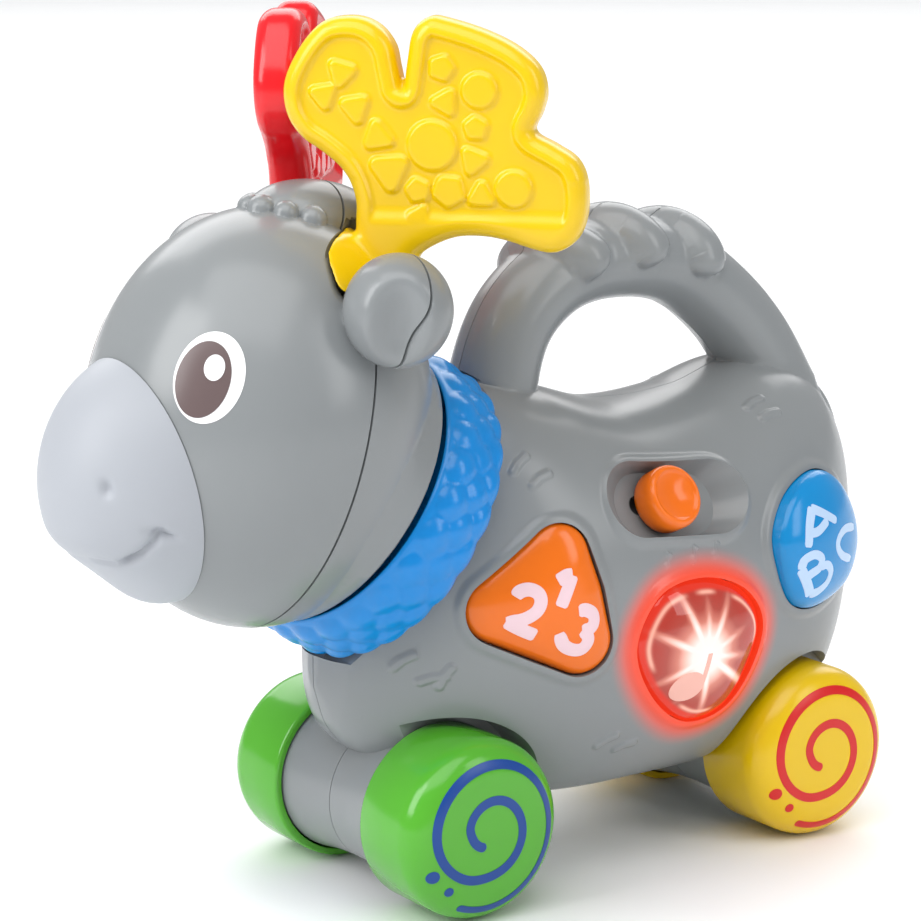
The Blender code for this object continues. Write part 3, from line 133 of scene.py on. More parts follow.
def tint(colour, factor):
    """A colour made lighter or darker, with its alpha."""
    return tuple(min(c * factor, 1.0) for c in colour) + (1.0,)


def finish(name, colour, rough, cloud=0.05, peel=0.02, metal=0.0, grain=700.0):
    """A moulded, turned or printed finish with clouds, uneven polish and a fine skin."""
    made = bpy.data.materials.new(name)
    made.use_nodes = True
    nodes = made.node_tree.nodes
    link = made.node_tree.links.new
    shader = nodes["Principled BSDF"]
    shader.inputs["Metallic"].default_value = metal
    place = nodes.new("ShaderNodeTexCoord")
    noises = []
    for scale, detail in ((24.0, 1.0), (60.0, 1.0), (grain, 1.0)):
        noise = nodes.new("ShaderNodeTexNoise")
        noise.inputs["Scale"].default_value = scale
        noise.inputs["Detail"].default_value = detail
        link(place.outputs["Object"], noise.inputs["Vector"])
        noises.append(noise.outputs["Fac"])
    ramp = nodes.new("ShaderNodeValToRGB")
    ramp.color_ramp.elements[0].position = 0.30
    ramp.color_ramp.elements[0].color = tint(colour, 1 - cloud)
    ramp.color_ramp.elements[1].position = 0.70
    ramp.color_ramp.elements[1].color = tint(colour, 1 + cloud)
    link(noises[0], ramp.inputs["Fac"])
    link(ramp.outputs["Color"], shader.inputs["Base Color"])
    polish = nodes.new("ShaderNodeMapRange")
    polish.inputs["From Min"].default_value = 0.3
    polish.inputs["From Max"].default_value = 0.7
    polish.inputs["To Min"].default_value = rough * 0.95
    polish.inputs["To Max"].default_value = rough * 1.06
    link(noises[1], polish.inputs["Value"])
    link(polish.outputs["Result"], shader.inputs["Roughness"])
    bump = nodes.new("ShaderNodeBump")
    bump.inputs["Strength"].default_value = peel
    bump.inputs["Distance"].default_value = 0.0001
    link(noises[2], bump.inputs["Height"])
    link(bump.outputs["Normal"], shader.inputs["Normal"])
    return made


SHELL_GREY, SHELL_ROUGH, SHELL_CLOUD = linear(135, 139, 141), 0.25, 0.012
GREY = finish("grey_abs", SHELL_GREY, SHELL_ROUGH, SHELL_CLOUD)
PALE = finish("pale_grey_soft", linear(168, 172, 179), 0.50, cloud=0.015, peel=0.05, grain=1200.0)
BLUE = finish("blue_plastic", linear(0, 133, 212), 0.22, cloud=0.02)
ORANGE = finish("orange_plastic", linear(240, 113, 8), 0.18, cloud=0.02)
SKY = finish("sky_plastic", linear(0, 138, 206), 0.18, cloud=0.02)
YELLOW = finish("yellow_plastic", linear(232, 192, 0), 0.24, cloud=0.015)
RED = finish("red_plastic", linear(228, 22, 32), 0.20, cloud=0.04)
GREEN = finish("green_plastic", linear(84, 172, 44), 0.17, cloud=0.02)
STEEL = finish("steel", linear(200, 202, 205), 0.30, metal=1.0, grain=900.0)
DARK = finish("dark_plastic", linear(48, 48, 50), 0.45)
BOARD = finish("board_green", linear(40, 105, 62), 0.48, cloud=0.12)
CELL = finish("cell_wrap", linear(52, 54, 60), 0.33)
NYLON = finish("white_nylon", linear(226, 225, 218), 0.42)
RUBBER = finish("pad_rubber", linear(190, 190, 192), 0.70, peel=0.3)
EPOXY = finish("lamp_epoxy", linear(238, 236, 228), 0.10)
PAPER = finish("cone_paper", linear(66, 66, 66), 0.80, cloud=0.12, peel=0.4)
PRINT_WHITE = finish("print_white", linear(246, 246, 248), 0.30, cloud=0.015)
PRINT_IRIS = finish("print_iris", linear(104, 88, 88), 0.26, cloud=0.06)
PRINT_PINK = finish("print_pink", linear(238, 206, 214), 0.32, cloud=0.02)
PRINT_ICE = finish("print_ice", linear(190, 216, 246), 0.32, cloud=0.02)
PRINT_NOTE = finish("print_note", linear(250, 190, 176), 0.30, cloud=0.03)
PRINT_BLUE = finish("print_blue", linear(0, 64, 146), 0.30, cloud=0.03)
PRINT_RED = finish("print_red", linear(210, 14, 18), 0.30, cloud=0.03)
FLOOR = finish("studio_floor", linear(244, 245, 246), 0.60, cloud=0.006, peel=0.02, grain=300.0)
print("finishes:", len(bpy.data.materials))

# %% Floor
bpy.ops.mesh.primitive_plane_add(size=40.0, location=(0.0, 0.0, -0.0002))
floor = bpy.context.object
floor.name = "studio_floor"
floor.data.materials.append(FLOOR)

# %% [markdown]
# ## Tools for the bench
# A few steps come back for every piece: select one object, apply a modifier to it, cut it with other solids
# or unite it with them. Where lumps meet, a mould has soft inner corners, so the points beside a sharp edge
# are eased, or a voxel remesh melts the lumps into one skin.

# %% Bench tools
def only(*objects):
    """Select these objects and nothing else; the first one becomes active."""
    if bpy.context.mode != "OBJECT":
        bpy.ops.object.mode_set(mode="OBJECT")
    bpy.ops.object.select_all(action="DESELECT")
    for obj in objects:
        obj.select_set(True)
    bpy.context.view_layer.objects.active = objects[0]


def modify(obj, kind, **settings):
    """Add one modifier, set it and apply it."""
    only(obj)
    bpy.ops.object.modifier_add(type=kind)
    modifier = obj.modifiers[-1]
    for key, value in settings.items():
        setattr(modifier, key, value)
    bpy.ops.object.modifier_apply(modifier=modifier.name)


def drop(obj):
    bpy.data.objects.remove(obj, do_unlink=True)


def cut(obj, cutter, operation="DIFFERENCE"):
    """A Boolean with a closed cutter, which is thrown away afterwards."""
    modify(obj, "BOOLEAN", object=cutter, operation=operation, solver="MANIFOLD")
    drop(cutter)
    return obj


def carve(obj, *cutters, operation="DIFFERENCE"):
    """One Boolean with many closed solids at once."""
    tray = bpy.data.collections.new("cutters")
    for cutter in cutters:
        tray.objects.link(cutter)
    modify(obj, "BOOLEAN", operand_type="COLLECTION", collection=tray, operation=operation, solver="MANIFOLD")
    for cutter in cutters:
        drop(cutter)
    bpy.data.collections.remove(tray)
    return obj


def join(first, *others):
    only(first, *others)
    bpy.ops.object.join()
    return first


def melt(obj, voxel, rounds):
    """One skin over all the lumps, its steps smoothed away."""
    modify(obj, "REMESH", mode="VOXEL", voxel_size=voxel)
    modify(obj, "SMOOTH", factor=0.5, iterations=rounds)
    return obj


def soften(obj, rings, rounds, sharp=32.0):
    """Ease the points beside every sharp corner, so that it gets a small round."""
    only(obj)
    bpy.ops.object.mode_set(mode="EDIT")
    bpy.ops.mesh.select_mode(type="EDGE")
    bpy.ops.mesh.select_all(action="DESELECT")
    bpy.ops.mesh.edges_select_sharp(sharpness=math.radians(sharp))
    bpy.ops.mesh.select_mode(type="VERT")
    for _ in range(rings):
        bpy.ops.mesh.select_more()
    bpy.ops.mesh.vertices_smooth(factor=0.5, repeat=rounds)
    bpy.ops.object.mode_set(mode="OBJECT")
    return obj


def twin(obj, name):
    """A copy with a mesh of its own."""
    made = obj.copy()
    made.data = obj.data.copy()
    made.name = name
    bpy.context.collection.objects.link(made)
    return made


def points_of(obj):
    flat = np.empty(len(obj.data.vertices) * 3)
    obj.data.vertices.foreach_get("co", flat)
    return flat.reshape(-1, 3)


def set_points(obj, points):
    obj.data.vertices.foreach_set("co", np.asarray(points, float).ravel())
    obj.data.update()


def settle(obj, matrix):
    """Move the mesh itself, so that the object stays unturned at the origin."""
    obj.matrix_world = matrix @ obj.matrix_world
    only(obj)
    bpy.ops.object.transform_apply(location=True, rotation=True, scale=True)
    return obj


def face_out(obj):
    only(obj)
    bpy.ops.object.mode_set(mode="EDIT")
    bpy.ops.mesh.select_all(action="SELECT")
    bpy.ops.mesh.remove_doubles(threshold=1e-6)
    bpy.ops.mesh.normals_make_consistent(inside=False)
    bpy.ops.object.mode_set(mode="OBJECT")
    return obj


def piece(obj, name, material, body, nodes=(), angle=38.0):
    """Name a finished piece, give it its finish and hang it on its body."""
    only(obj)
    obj.name = name
    obj.data.name = name
    obj.data.materials.clear()
    obj.data.materials.append(material)
    bpy.ops.object.shade_smooth_by_angle(angle=math.radians(angle))
    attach(obj, body)
    if nodes:
        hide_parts(*nodes)
    print(name, len(obj.data.polygons), "faces")
    return obj


# %% Frames and simple solids
def frame_on(origin, out, up=(0.0, 0.0, 1.0)):
    """A local frame: Z points out, Y lies as near up as it can."""
    z = Vector(out).normalized()
    x = Vector(up).cross(z).normalized()
    made = Matrix((x, z.cross(x), z)).transposed().to_4x4()
    made.translation = Vector(origin)
    return made


def rod(radius, low, high, place, vertices=96):
    """A round cutter along the local Z."""
    bpy.ops.mesh.primitive_cylinder_add(vertices=vertices, radius=radius, depth=high - low)
    return settle(bpy.context.object, place @ Matrix.Translation((0.0, 0.0, (low + high) / 2)))


def block(low, high):
    bpy.ops.mesh.primitive_cube_add(size=1.0)
    size = Matrix.Diagonal((*(h - l for l, h in zip(low, high)), 1.0))
    middle = Vector([(l + h) / 2 for l, h in zip(low, high)])
    return settle(bpy.context.object, Matrix.Translation(middle) @ size)


def egg(centre, semi, lean=0.0, detail=96):
    """A ball stretched to three half axes: forwards, sideways and up, leaning back."""
    bpy.ops.mesh.primitive_uv_sphere_add(segments=detail, ring_count=detail // 2)
    turn = Matrix.Rotation(lean, 4, "Y")
    return settle(bpy.context.object, Matrix.Translation(centre) @ turn @ Matrix.Diagonal((*semi, 1.0)))


def prism(outline, low, high, place):
    """A flat outline drawn from a circle's points, then extruded along the local Z."""
    bpy.ops.mesh.primitive_circle_add(vertices=len(outline), radius=1.0, fill_type="NGON")
    made = bpy.context.object
    set_points(made, [(u, v, low) for u, v in outline])
    only(made)
    bpy.ops.object.mode_set(mode="EDIT")
    bpy.ops.mesh.select_all(action="SELECT")
    bpy.ops.mesh.extrude_region_move(TRANSFORM_OT_translate={"value": (0.0, 0.0, high - low)})
    bpy.ops.object.mode_set(mode="OBJECT")
    return face_out(settle(made, place))


def turned(profile, place, steps=96):
    """A profile of (radius, height) points, spun round the local Z."""
    mesh = bpy.data.meshes.new("profile")
    edges = [(k, k + 1) for k in range(len(profile) - 1)]
    mesh.from_pydata([(r, 0.0, h) for r, h in profile], edges, [])
    made = bpy.data.objects.new("profile", mesh)
    bpy.context.collection.objects.link(made)
    only(made)
    bpy.ops.object.mode_set(mode="EDIT")
    bpy.ops.mesh.select_all(action="SELECT")
    bpy.ops.mesh.spin(steps=steps, angle=2 * math.pi, center=(0, 0, 0), axis=(0, 0, 1))
    bpy.ops.object.mode_set(mode="OBJECT")
    return face_out(settle(made, place))


def strand(points, radii, sides=6):
    """A round strand along the points: a curve with a thickness, turned into a mesh."""
    bpy.ops.curve.primitive_nurbs_path_add()
    made = bpy.context.object
    spline = made.data.splines[0]
    spline.points.add(len(points) - len(spline.points))
    for spot, point, radius in zip(spline.points, points, radii):
        spot.co = (*point, 1.0)
        spot.radius = radius
    spline.use_endpoint_u = True
    spline.order_u = 4
    spline.resolution_u = 4
    made.data.bevel_depth = 1.0
    made.data.bevel_resolution = sides
    made.data.use_fill_caps = True
    only(made)
    bpy.ops.object.convert(target="MESH")
    return face_out(settle(bpy.context.object, Matrix.Translation((0, 0, 0))))


# %% [markdown]
# ## The body: lumps first
# The body of the real toy is two shells from one mould pair. Its outside is a barrel-shaped torso, a loop
# handle that grows out of the back, a small tail and a waisted drum between each pair of wheels. The torso
# starts as a ball whose rings are pulled onto measured cross sections: each station along the body gives
# the height of the back, the height of the belly and half the width.

# %% Torso
AXLE_X = -0.03044
WHEELBASE = 0.1288
TORSO = np.array([
    (-0.0275, 0.078, 0.064, 0.003), (-0.0235, 0.094, 0.052, 0.0125), (-0.0145, 0.112, 0.042, 0.0225),
    (0.000, 0.134, 0.034, 0.0335), (0.020, 0.149, 0.0255, 0.0425), (0.045, 0.147, 0.0215, 0.0475),
    (0.075, 0.1388, 0.021, 0.0485), (0.105, 0.1395, 0.0215, 0.0465), (0.130, 0.146, 0.025, 0.0412),
    (0.149, 0.1425, 0.035, 0.0325), (0.163, 0.130, 0.053, 0.0208), (0.1715, 0.112, 0.075, 0.008),
])


def smooth(table, column, x):
    """A smooth curve through one column of a table, read at x."""
    xs, ys = table[:, 0], table[:, column]
    first = np.maximum(np.arange(len(xs)) - 1, 0)
    last = np.minimum(np.arange(len(xs)) + 1, len(xs) - 1)
    slope = (ys[last] - ys[first]) / (xs[last] - xs[first])
    i = np.clip(np.searchsorted(xs, x) - 1, 0, len(xs) - 2)
    span = xs[i + 1] - xs[i]
    t = (x - xs[i]) / span
    ahead = 3 * t**2 - 2 * t**3
    bend = (t**3 - 2 * t**2 + t) * slope[i] + (t**3 - t**2) * slope[i + 1]
    return (1 - ahead) * ys[i] + ahead * ys[i + 1] + bend * span


def torso(inset, detail):
    """The torso's skin, or one that lies inside it by inset."""
    bpy.ops.mesh.primitive_uv_sphere_add(segments=detail, ring_count=detail, rotation=(0.0, math.pi / 2, 0.0))
    made = settle(bpy.context.object, Matrix.Identity(4))
    ball = points_of(made)
    start, end = TORSO[0, 0] + 2 * inset, TORSO[-1, 0] - 1.5 * inset
    x = start + (end - start) * (0.5 + 0.5 * ball[:, 0])
    closing = np.clip((x - (end - 0.006)) / 0.006, 0.0, 1.0)
    radial = np.minimum(np.hypot(ball[:, 1], ball[:, 2]) / 0.02, 1.0) * np.sqrt(1 - closing**2 * 0.98)
    top, bottom = smooth(TORSO, 1, x) - inset, smooth(TORSO, 2, x) + inset
    half = smooth(TORSO, 3, x) - inset
    turn = np.arctan2(ball[:, 2], ball[:, 1])
    c, s = np.cos(turn), np.sin(turn)
    power = np.where(s > 0, 2.2, 2.8)
    y = half * radial * np.sign(c) * np.abs(c) ** (2 / power)
    z = (top + bottom) / 2 + (top - bottom) / 2 * radial * np.sign(s) * np.abs(s) ** (2 / power)
    set_points(made, np.column_stack([x + AXLE_X, y, z]))
    return face_out(made)


body = torso(0.0, 288)
print("torso:", len(body.data.polygons), "faces")

# %% [markdown]
# ## Lips round the controls
# Round each button the mould leaves a soft raised lip, and the slider lies in an oval dish with a rim. The
# distance of every point of the skin to the button's outline is measured in the button's own plane, and
# points near it are lifted along the plane's normal. The skin there is subdivided first, so that the lip
# comes out round. After that the openings are cut clean through.

# %% Outlines of the controls
def flowing(corners, per_side):
    """A closed smooth curve through the corners."""
    a, b, c, d = (np.roll(corners, -k, axis=0)[:, None, :] for k in (-1, 0, 1, 2))
    t = (np.arange(per_side) / per_side)[None, :, None]
    made = b + (c - a) * t / 2 + (2 * a - 5 * b + 4 * c - d) * t**2 / 2 + (3 * b - a - 3 * c + d) * t**3 / 2
    return made.reshape(-1, 2)


def drawn_in(outline, distance):
    """The outline moved inwards along its own normals."""
    along = np.roll(outline, -1, axis=0) - np.roll(outline, 1, axis=0)
    along /= np.linalg.norm(along, axis=1)[:, None]
    turning = np.sign(np.cross(outline, np.roll(outline, -1, axis=0)).sum())
    return outline + np.column_stack([-along[:, 1], along[:, 0]]) * distance * turning


def rounded(tips, radius, grow=0.0, steps=14):
    """A convex outline whose rounded corners reach the tips, or with no radius a curve through them."""
    tips = [Vector(t) for t in tips]
    if sum(tips[k - 1].cross(tips[k]) for k in range(len(tips))) < 0:
        tips.reverse()
    if not radius:
        return [tuple(p) for p in drawn_in(flowing(np.array(tips), steps), -grow)]
    middle = sum(tips, Vector((0.0, 0.0))) / len(tips)
    centres = [t + (middle - t).normalized() * radius for t in tips]
    outline = []
    for k, centre in enumerate(centres):
        before = centre - centres[k - 1]
        after = centres[(k + 1) % len(centres)] - centre
        start = math.atan2(-before.x, before.y)
        end = math.atan2(-after.x, after.y)
        end += 2 * math.pi if end < start else 0.0
        for s in range(steps + 1):
            turn = start + (end - start) * s / steps
            reach = radius + grow
            outline.append((centre.x + reach * math.cos(turn), centre.y + reach * math.sin(turn)))
    return outline


def slot(length, height, grow=0.0, steps=24):
    """A slot outline with round ends."""
    radius = height / 2 + grow
    reach = (length - height) / 2
    turns = [math.pi * s / steps - math.pi / 2 for s in range(steps + 1)]
    right = [(reach + radius * math.cos(a), radius * math.sin(a)) for a in turns]
    return right + [(-u, -v) for u, v in right]


CONTROLS = {
    "number": (
        frame_on((-0.00894, -0.0429, 0.0915), (-0.28313, -0.9587, 0.02689)),
        ((0.0078, 0.0218), (-0.0205, -0.0030), (0.0195, -0.0225), (0.0219, -0.0005)), 0.010,
    ),
    "letter": (
        frame_on((0.10356, -0.03965, 0.0935), (0.3397, -0.93919, 0.05029)),
        (
            (-0.0020, 0.0218), (-0.0160, 0.0170), (-0.0248, 0.0060), (-0.0238, -0.0060), (-0.0175, -0.0168),
            (-0.0050, -0.0205), (0.0130, -0.0172), (0.0212, -0.0070), (0.0200, 0.0050), (0.0110, 0.0168),
        ), 0.0,
    ),
    "lamp": (
        frame_on((0.04906, -0.04821, 0.068), (0.02645, -0.99861, -0.04568)),
        (
            (-0.0248, 0.0048), (-0.0165, 0.0198), (0.0010, 0.0226), (0.0178, 0.0158),
            (0.0246, 0.0022), (0.0138, -0.0180), (-0.0025, -0.0218), (-0.0175, -0.0115),
        ), 0.0,
    ),
}
DISH = frame_on((0.04486, -0.04095, 0.1145), (0.0599, -0.8804, 0.47044)) @ Matrix.Rotation(math.radians(-6.5), 4, "Z")
DISH_LONG, DISH_HIGH, DISH_DEEP = 0.052, 0.0236, 0.0062


def distance_to(outline, flat):
    """Signed distance of flat points to a closed outline, negative inside it."""
    ends = np.asarray(outline)
    starts = np.roll(ends, 1, axis=0)
    step = ends - starts
    share = ((flat[:, None, :] - starts) * step).sum(2) / (step**2).sum(1)
    nearest = starts + step * np.clip(share, 0, 1)[:, :, None]
    away = np.sqrt(((flat[:, None, :] - nearest) ** 2).sum(2)).min(1)
    x, y = flat[:, :1], flat[:, 1:]
    above = (starts[:, 1] > y) != (ends[:, 1] > y)
    crossing = starts[:, 0] + (y - starts[:, 1]) / np.where(step[:, 1] == 0, 1e-12, step[:, 1]) * step[:, 0]
    inside = (above & (x < crossing)).sum(1) % 2 == 1
    return np.where(inside, -away, away)


def local(points, place):
    """Points of the skin in a control's own frame."""
    return (points - np.array(place.translation)) @ np.array(place.to_3x3())


def ease(value, low, high):
    """A soft step from 0 at low to 1 at high."""
    t = np.clip((value - low) / (high - low), 0.0, 1.0)
    return t * t * (3 - 2 * t)


# %% Raise the lips
def refine(obj, wanted, cuts=1):
    """Subdivide the faces all of whose points are wanted."""
    only(obj)
    chosen = [wanted[list(f.vertices)].all() for f in obj.data.polygons]
    bpy.ops.object.mode_set(mode="EDIT")
    bpy.ops.mesh.select_mode(type="FACE")
    bpy.ops.mesh.select_all(action="DESELECT")
    bpy.ops.object.mode_set(mode="OBJECT")
    obj.data.polygons.foreach_set("select", chosen)
    bpy.ops.object.mode_set(mode="EDIT")
    bpy.ops.mesh.subdivide(number_cuts=cuts)
    bpy.ops.object.mode_set(mode="OBJECT")


def lip(obj, outline, place, height, flat, reach):
    """Raise a soft lip: full height up to flat outside the outline, gone at reach."""
    def measured():
        near = local(points_of(obj), place)
        wanted = (np.hypot(near[:, 0], near[:, 1]) < 0.045) & (np.abs(near[:, 2]) < 0.018)
        away = np.full(len(near), 1.0)
        away[wanted] = distance_to(outline, near[wanted, :2])
        return away
    away = measured()
    refine(obj, (away < reach + 0.002) & (away > -0.002))
    away = measured()
    lift = height * (1 - ease(away, flat, reach)) * (away < reach)
    set_points(obj, points_of(obj) + lift[:, None] * np.array(place.col[2][:3]))


BUTTON_LIP = {"height": 0.0011, "flat": 0.0016, "reach": 0.0040}
DISH_LIP = {"height": 0.0010, "flat": 0.0006, "reach": 0.0034}
for place, tips, radius in CONTROLS.values():
    lip(body, rounded(tips, radius), place, **BUTTON_LIP)
lip(body, slot(DISH_LONG, DISH_HIGH), DISH, **DISH_LIP)
print("body with lips:", len(body.data.polygons), "faces")

# %% [markdown]
# ## Small marks in the mould
# The flank carries a few raised marks: groups of small leaves and, over the lamp, three tiny notes. Each is a
# line drawn in a frame on the skin: a leaf is a short thick one. The skin is subdivided along the line, and the
# points near it are lifted.

# %% Raised marks
def to_line(points, line):
    """Distance of every point to a line of points."""
    starts, ends = np.asarray(line[:-1]), np.asarray(line[1:])
    step = ends - starts
    share = np.clip(((points[:, None, :] - starts) * step).sum(2) / (step**2).sum(1), 0, 1)
    return np.sqrt(((points[:, None, :] - starts - step * share[:, :, None]) ** 2).sum(2)).min(1)


def emboss(obj, place, lines, height, half):
    """Raise soft lines, drawn in a frame on the skin: half is half their width."""
    def measured():
        near = local(points_of(obj), place)
        wanted = (np.hypot(near[:, 0], near[:, 1]) < 0.018) & (np.abs(near[:, 2]) < 0.012)
        away = np.full(len(near), 1.0)
        for line in lines:
            away[wanted] = np.minimum(away[wanted], to_line(near[wanted, :2], line))
        return away
    refine(obj, measured() < half + 0.0018, cuts=3)
    lift = height * (1 - ease(measured(), 0.3 * half, half + 0.0003))
    set_points(obj, points_of(obj) + lift[:, None] * np.array(place.col[2][:3]))


def drawn(shape, u, v, degrees, size=1.0):
    """A shape in millimetres, turned, sized and moved."""
    c, s = math.cos(math.radians(degrees)) * size / 1000, math.sin(math.radians(degrees)) * size / 1000
    return [(u / 1000 + x * c - y * s, v / 1000 + x * s + y * c) for x, y in shape]


LEAF = [(1.4, -0.3), (4.4, 0.3), (7.8, 0.0)]
NOTE = [(0, 0), (0.9, 0.5), (1.4, 0), (0.9, -0.5), (0, 0), (1.4, 0), (1.4, 4.0), (2.8, 3.2)]
LEAF_HIGH, LEAF_HALF = 0.0008, 0.0016
NOTE_HIGH, NOTE_HALF = 0.0004, 0.00035
LEAVES = (
    (23.8, -44.0, 130.2, 0.40, ((-5.0, 1.5, 35), (-0.5, -3.0, 20))),
    (119.7, -32.0, 139.0, 0.75, ((-5.0, 1.0, 15), (-2.0, -3.5, 5))),
    (-10.0, -33.0, 70.0, -0.10, ((-6.0, 1.0, 40), (0.0, -2.0, 15), (5.0, -4.0, 60))),
    (50.0, -41.0, 43.0, -0.25, ((-6.0, 0.0, 25), (1.0, -2.0, 10))),
)
for x, y, z, up, pair in LEAVES:
    for sign in (1.0, -1.0):
        place = frame_on((x / 1000 + AXLE_X, sign * y / 1000, z / 1000), (0.0, -sign, up))
        emboss(body, place, [drawn(LEAF, u, v, degrees) for u, v, degrees in pair], LEAF_HIGH, LEAF_HALF)
SIGNS = frame_on((0.0765 + AXLE_X, -0.048, 0.0985), (0.0, -1.0, 0.05))
notes = [drawn(NOTE, u, v, 0, size) for u, v, size in ((-10.5, -2.0, 0.9), (-0.5, -2.2, 1.1), (8.5, -1.5, 0.9))]
emboss(body, SIGNS, notes, NOTE_HIGH, NOTE_HALF)
print("body with marks:", len(body.data.polygons), "faces")

# %% [markdown]
# ## Handle, hair strands and tail
# The handle is a thick tube along a smooth arch, a little wider at both feet. Three strands of hair lie
# slantwise over its top like turns of a rope, each with a fat round end on the flank: a child's fingers
# find them. Each strand follows the handle's own skin, so its path is given by a place along the arch and
# an angle round it.

# %% Handle
ARCH = np.array([
    (0, 0.0352, 0.122), (1, 0.0370, 0.147), (2, 0.0445, 0.166), (3, 0.060, 0.178), (4, 0.080, 0.1815),
    (5, 0.103, 0.178), (6, 0.122, 0.166), (7, 0.137, 0.150), (8, 0.149, 0.128),
])
BAR_DEEP, BAR_WIDE, BAR_FLARE = 0.0125, 0.0135, 0.22


def arch_at(t):
    """Centre, outward normal and swelling of the handle at places t along the arch."""
    t = np.asarray(t, float)
    spot = np.column_stack([smooth(ARCH, 1, t) + AXLE_X, 0 * t, smooth(ARCH, 2, t)])
    near, far = np.clip(t - 0.05, 0, 8), np.clip(t + 0.05, 0, 8)
    along = np.column_stack([smooth(ARCH, k, far) - smooth(ARCH, k, near) for k in (1, 2)])
    along /= np.linalg.norm(along, axis=1)[:, None]
    normal = np.column_stack([-along[:, 1], 0 * t, along[:, 0]])
    return spot, normal, 1 + BAR_FLARE * np.abs(t / 4 - 1) ** 4


def on_bar(t, turn, lift):
    """Points on the handle's skin, turn counted from the top towards the left flank."""
    spot, normal, swell = arch_at(t)
    turn = np.asarray(turn)[:, None]
    deep = (BAR_DEEP * swell + lift)[:, None]
    wide = (BAR_WIDE * swell + lift)[:, None]
    return spot + normal * deep * np.cos(turn) - np.array((0.0, 1.0, 0.0)) * wide * np.sin(turn)


steps = np.linspace(0, 8, 49)
spot, _, swell = arch_at(steps)
handle = strand(spot, BAR_DEEP * swell, sides=14)
settle(handle, Matrix.Diagonal((1.0, BAR_WIDE / BAR_DEEP, 1.0, 1.0)))

# %% Hair strands and tail
def round_ends(count, radius):
    """Radii of a strand that closes like a finger tip at both ends."""
    t = np.linspace(-1, 1, count)
    return radius * np.maximum(1 - np.abs(t) ** 9, 0.0) ** 0.5 + 0.0002


STRAND_RADIUS, STRAND_POINTS = 0.0080, 41
hair = []
for near_end, over_top, far_end in ((3.40, 3.05, 2.66), (4.40, 4.04, 3.64), (5.32, 4.94, 4.54)):
    t = np.linspace(0, 1, STRAND_POINTS)
    along = np.interp(t, (0, 0.5, 1), (near_end, over_top, far_end))
    turn = np.interp(t, (0, 0.5, 1), np.radians((96, 8, -92)))
    lift = -0.0034 - 0.0004 * t
    swelling = 1.06 - 0.14 * t
    hair.append(strand(on_bar(along, turn, lift), round_ends(STRAND_POINTS, STRAND_RADIUS) * swelling))
tail = egg((0.1625 + AXLE_X, 0.0, 0.1185), (0.0095, 0.010, 0.0185), -0.30, 72)
carve(body, handle, tail, *hair, operation="UNION")
soften(body, 1, 4)
print("strands of hair:", len(hair))

# %% [markdown]
# ## Barrels, wheel arches and neck
# Between two wheels the body ends in a waisted drum that hides the axle. The wheel arches are round
# pockets cut from both flanks, and one big round cut makes room for the collar. The drums are joined after
# those cuts, because they reach into the wheels.

# %% Cuts and barrels
WHEEL_R, WHEEL_IN, WHEEL_WIDE = 0.027, 0.0227, 0.0283
WELL_R, WELL_IN = 0.0303, 0.0220
BARREL_END, FLANGE_R, WAIST_R = 0.0250, 0.0242, 0.0223
NECK = frame_on((-0.0061 + AXLE_X, 0.0, 0.1160), (-0.84151, 0.0, 0.54024), (0.0, 1.0, 0.0))
NECK_WALL = 0.0091
COLLAR_ROOM = 0.0474
BELLY_Z = 0.0235
WALL = 0.0022
AXLES = (AXLE_X, AXLE_X + WHEELBASE)


def side(x, z, sign):
    """A frame in the mid-plane whose Z points out of one flank."""
    return frame_on((x, 0.0, z), (0.0, sign, 0.0))


def barrel(x, shrink, end):
    """The waisted drum round one axle, or with shrink the room inside it."""
    flange, waist = FLANGE_R - shrink, WAIST_R - shrink
    bend = np.linspace(-1, 1, 25)
    profile = [(0.0, -end), (flange - 0.0006, -end), (flange, -end + 0.0006)]
    profile += [(waist + (flange - waist) * abs(b) ** 2.2, b * end * 0.90) for b in bend]
    profile += [(flange, end - 0.0006), (flange - 0.0006, end), (0.0, end)]
    return turned(profile, side(x, WHEEL_R, 1.0), 72)


rooms = [rod(WELL_R, WELL_IN, 0.1, side(x, WHEEL_R, sign), 128) for x in AXLES for sign in (-1.0, 1.0)]
rooms.append(rod(COLLAR_ROOM, -NECK_WALL, 0.1, NECK, 160))
rooms.append(block((-0.2, -0.2, -0.1), (0.3, 0.2, BELLY_Z)))
carve(body, *rooms)
carve(body, *[barrel(x, 0.0, BARREL_END) for x in AXLES], operation="UNION")
print("body skin:", len(body.data.polygons), "faces")

# %% [markdown]
# ## Hollow the shells
# A moulded shell has a wall of about two millimetres. The hollow is the torso drawn a wall smaller, kept
# off the wheel arches, the neck wall and the belly floor, with a block left standing behind every button
# and every screw. It is cut out together with all openings, and at last a thin slice along the mid-plane
# parts the body into its left and right halves.

# %% Hollow and openings
LEDGE, SEAT, PLATE = 0.0068, 0.0087, 0.0148
BELLY_FLOOR, DISH_WALL, POST_R = 0.0024, 0.0018, 0.0040
NECK_HOLE_R, AXLE_BORE_R = 0.0238, 0.0053
BODY_SCREWS = ((-0.010, 0.066), (0.036, 0.126), (0.112, 0.127), (0.050, 0.051), (0.147, 0.131))
hollow = torso(WALL, 64)
keep = [rod(WELL_R + WALL, WELL_IN - WALL, 0.1, side(x, WHEEL_R, sign), 64) for x in AXLES for sign in (-1.0, 1.0)]
keep.append(rod(0.12, -NECK_WALL - WALL, 0.2, NECK, 48))
keep.append(block((-0.2, -0.2, -0.1), (0.3, 0.2, BELLY_Z + BELLY_FLOOR)))
keep.append(prism(slot(DISH_LONG, DISH_HIGH, DISH_WALL), -DISH_DEEP - DISH_WALL, 0.05, DISH))
for place, tips, radius in CONTROLS.values():
    keep.append(prism(rounded(tips, radius, 0.0038), -PLATE - 0.0014, 0.05, place))
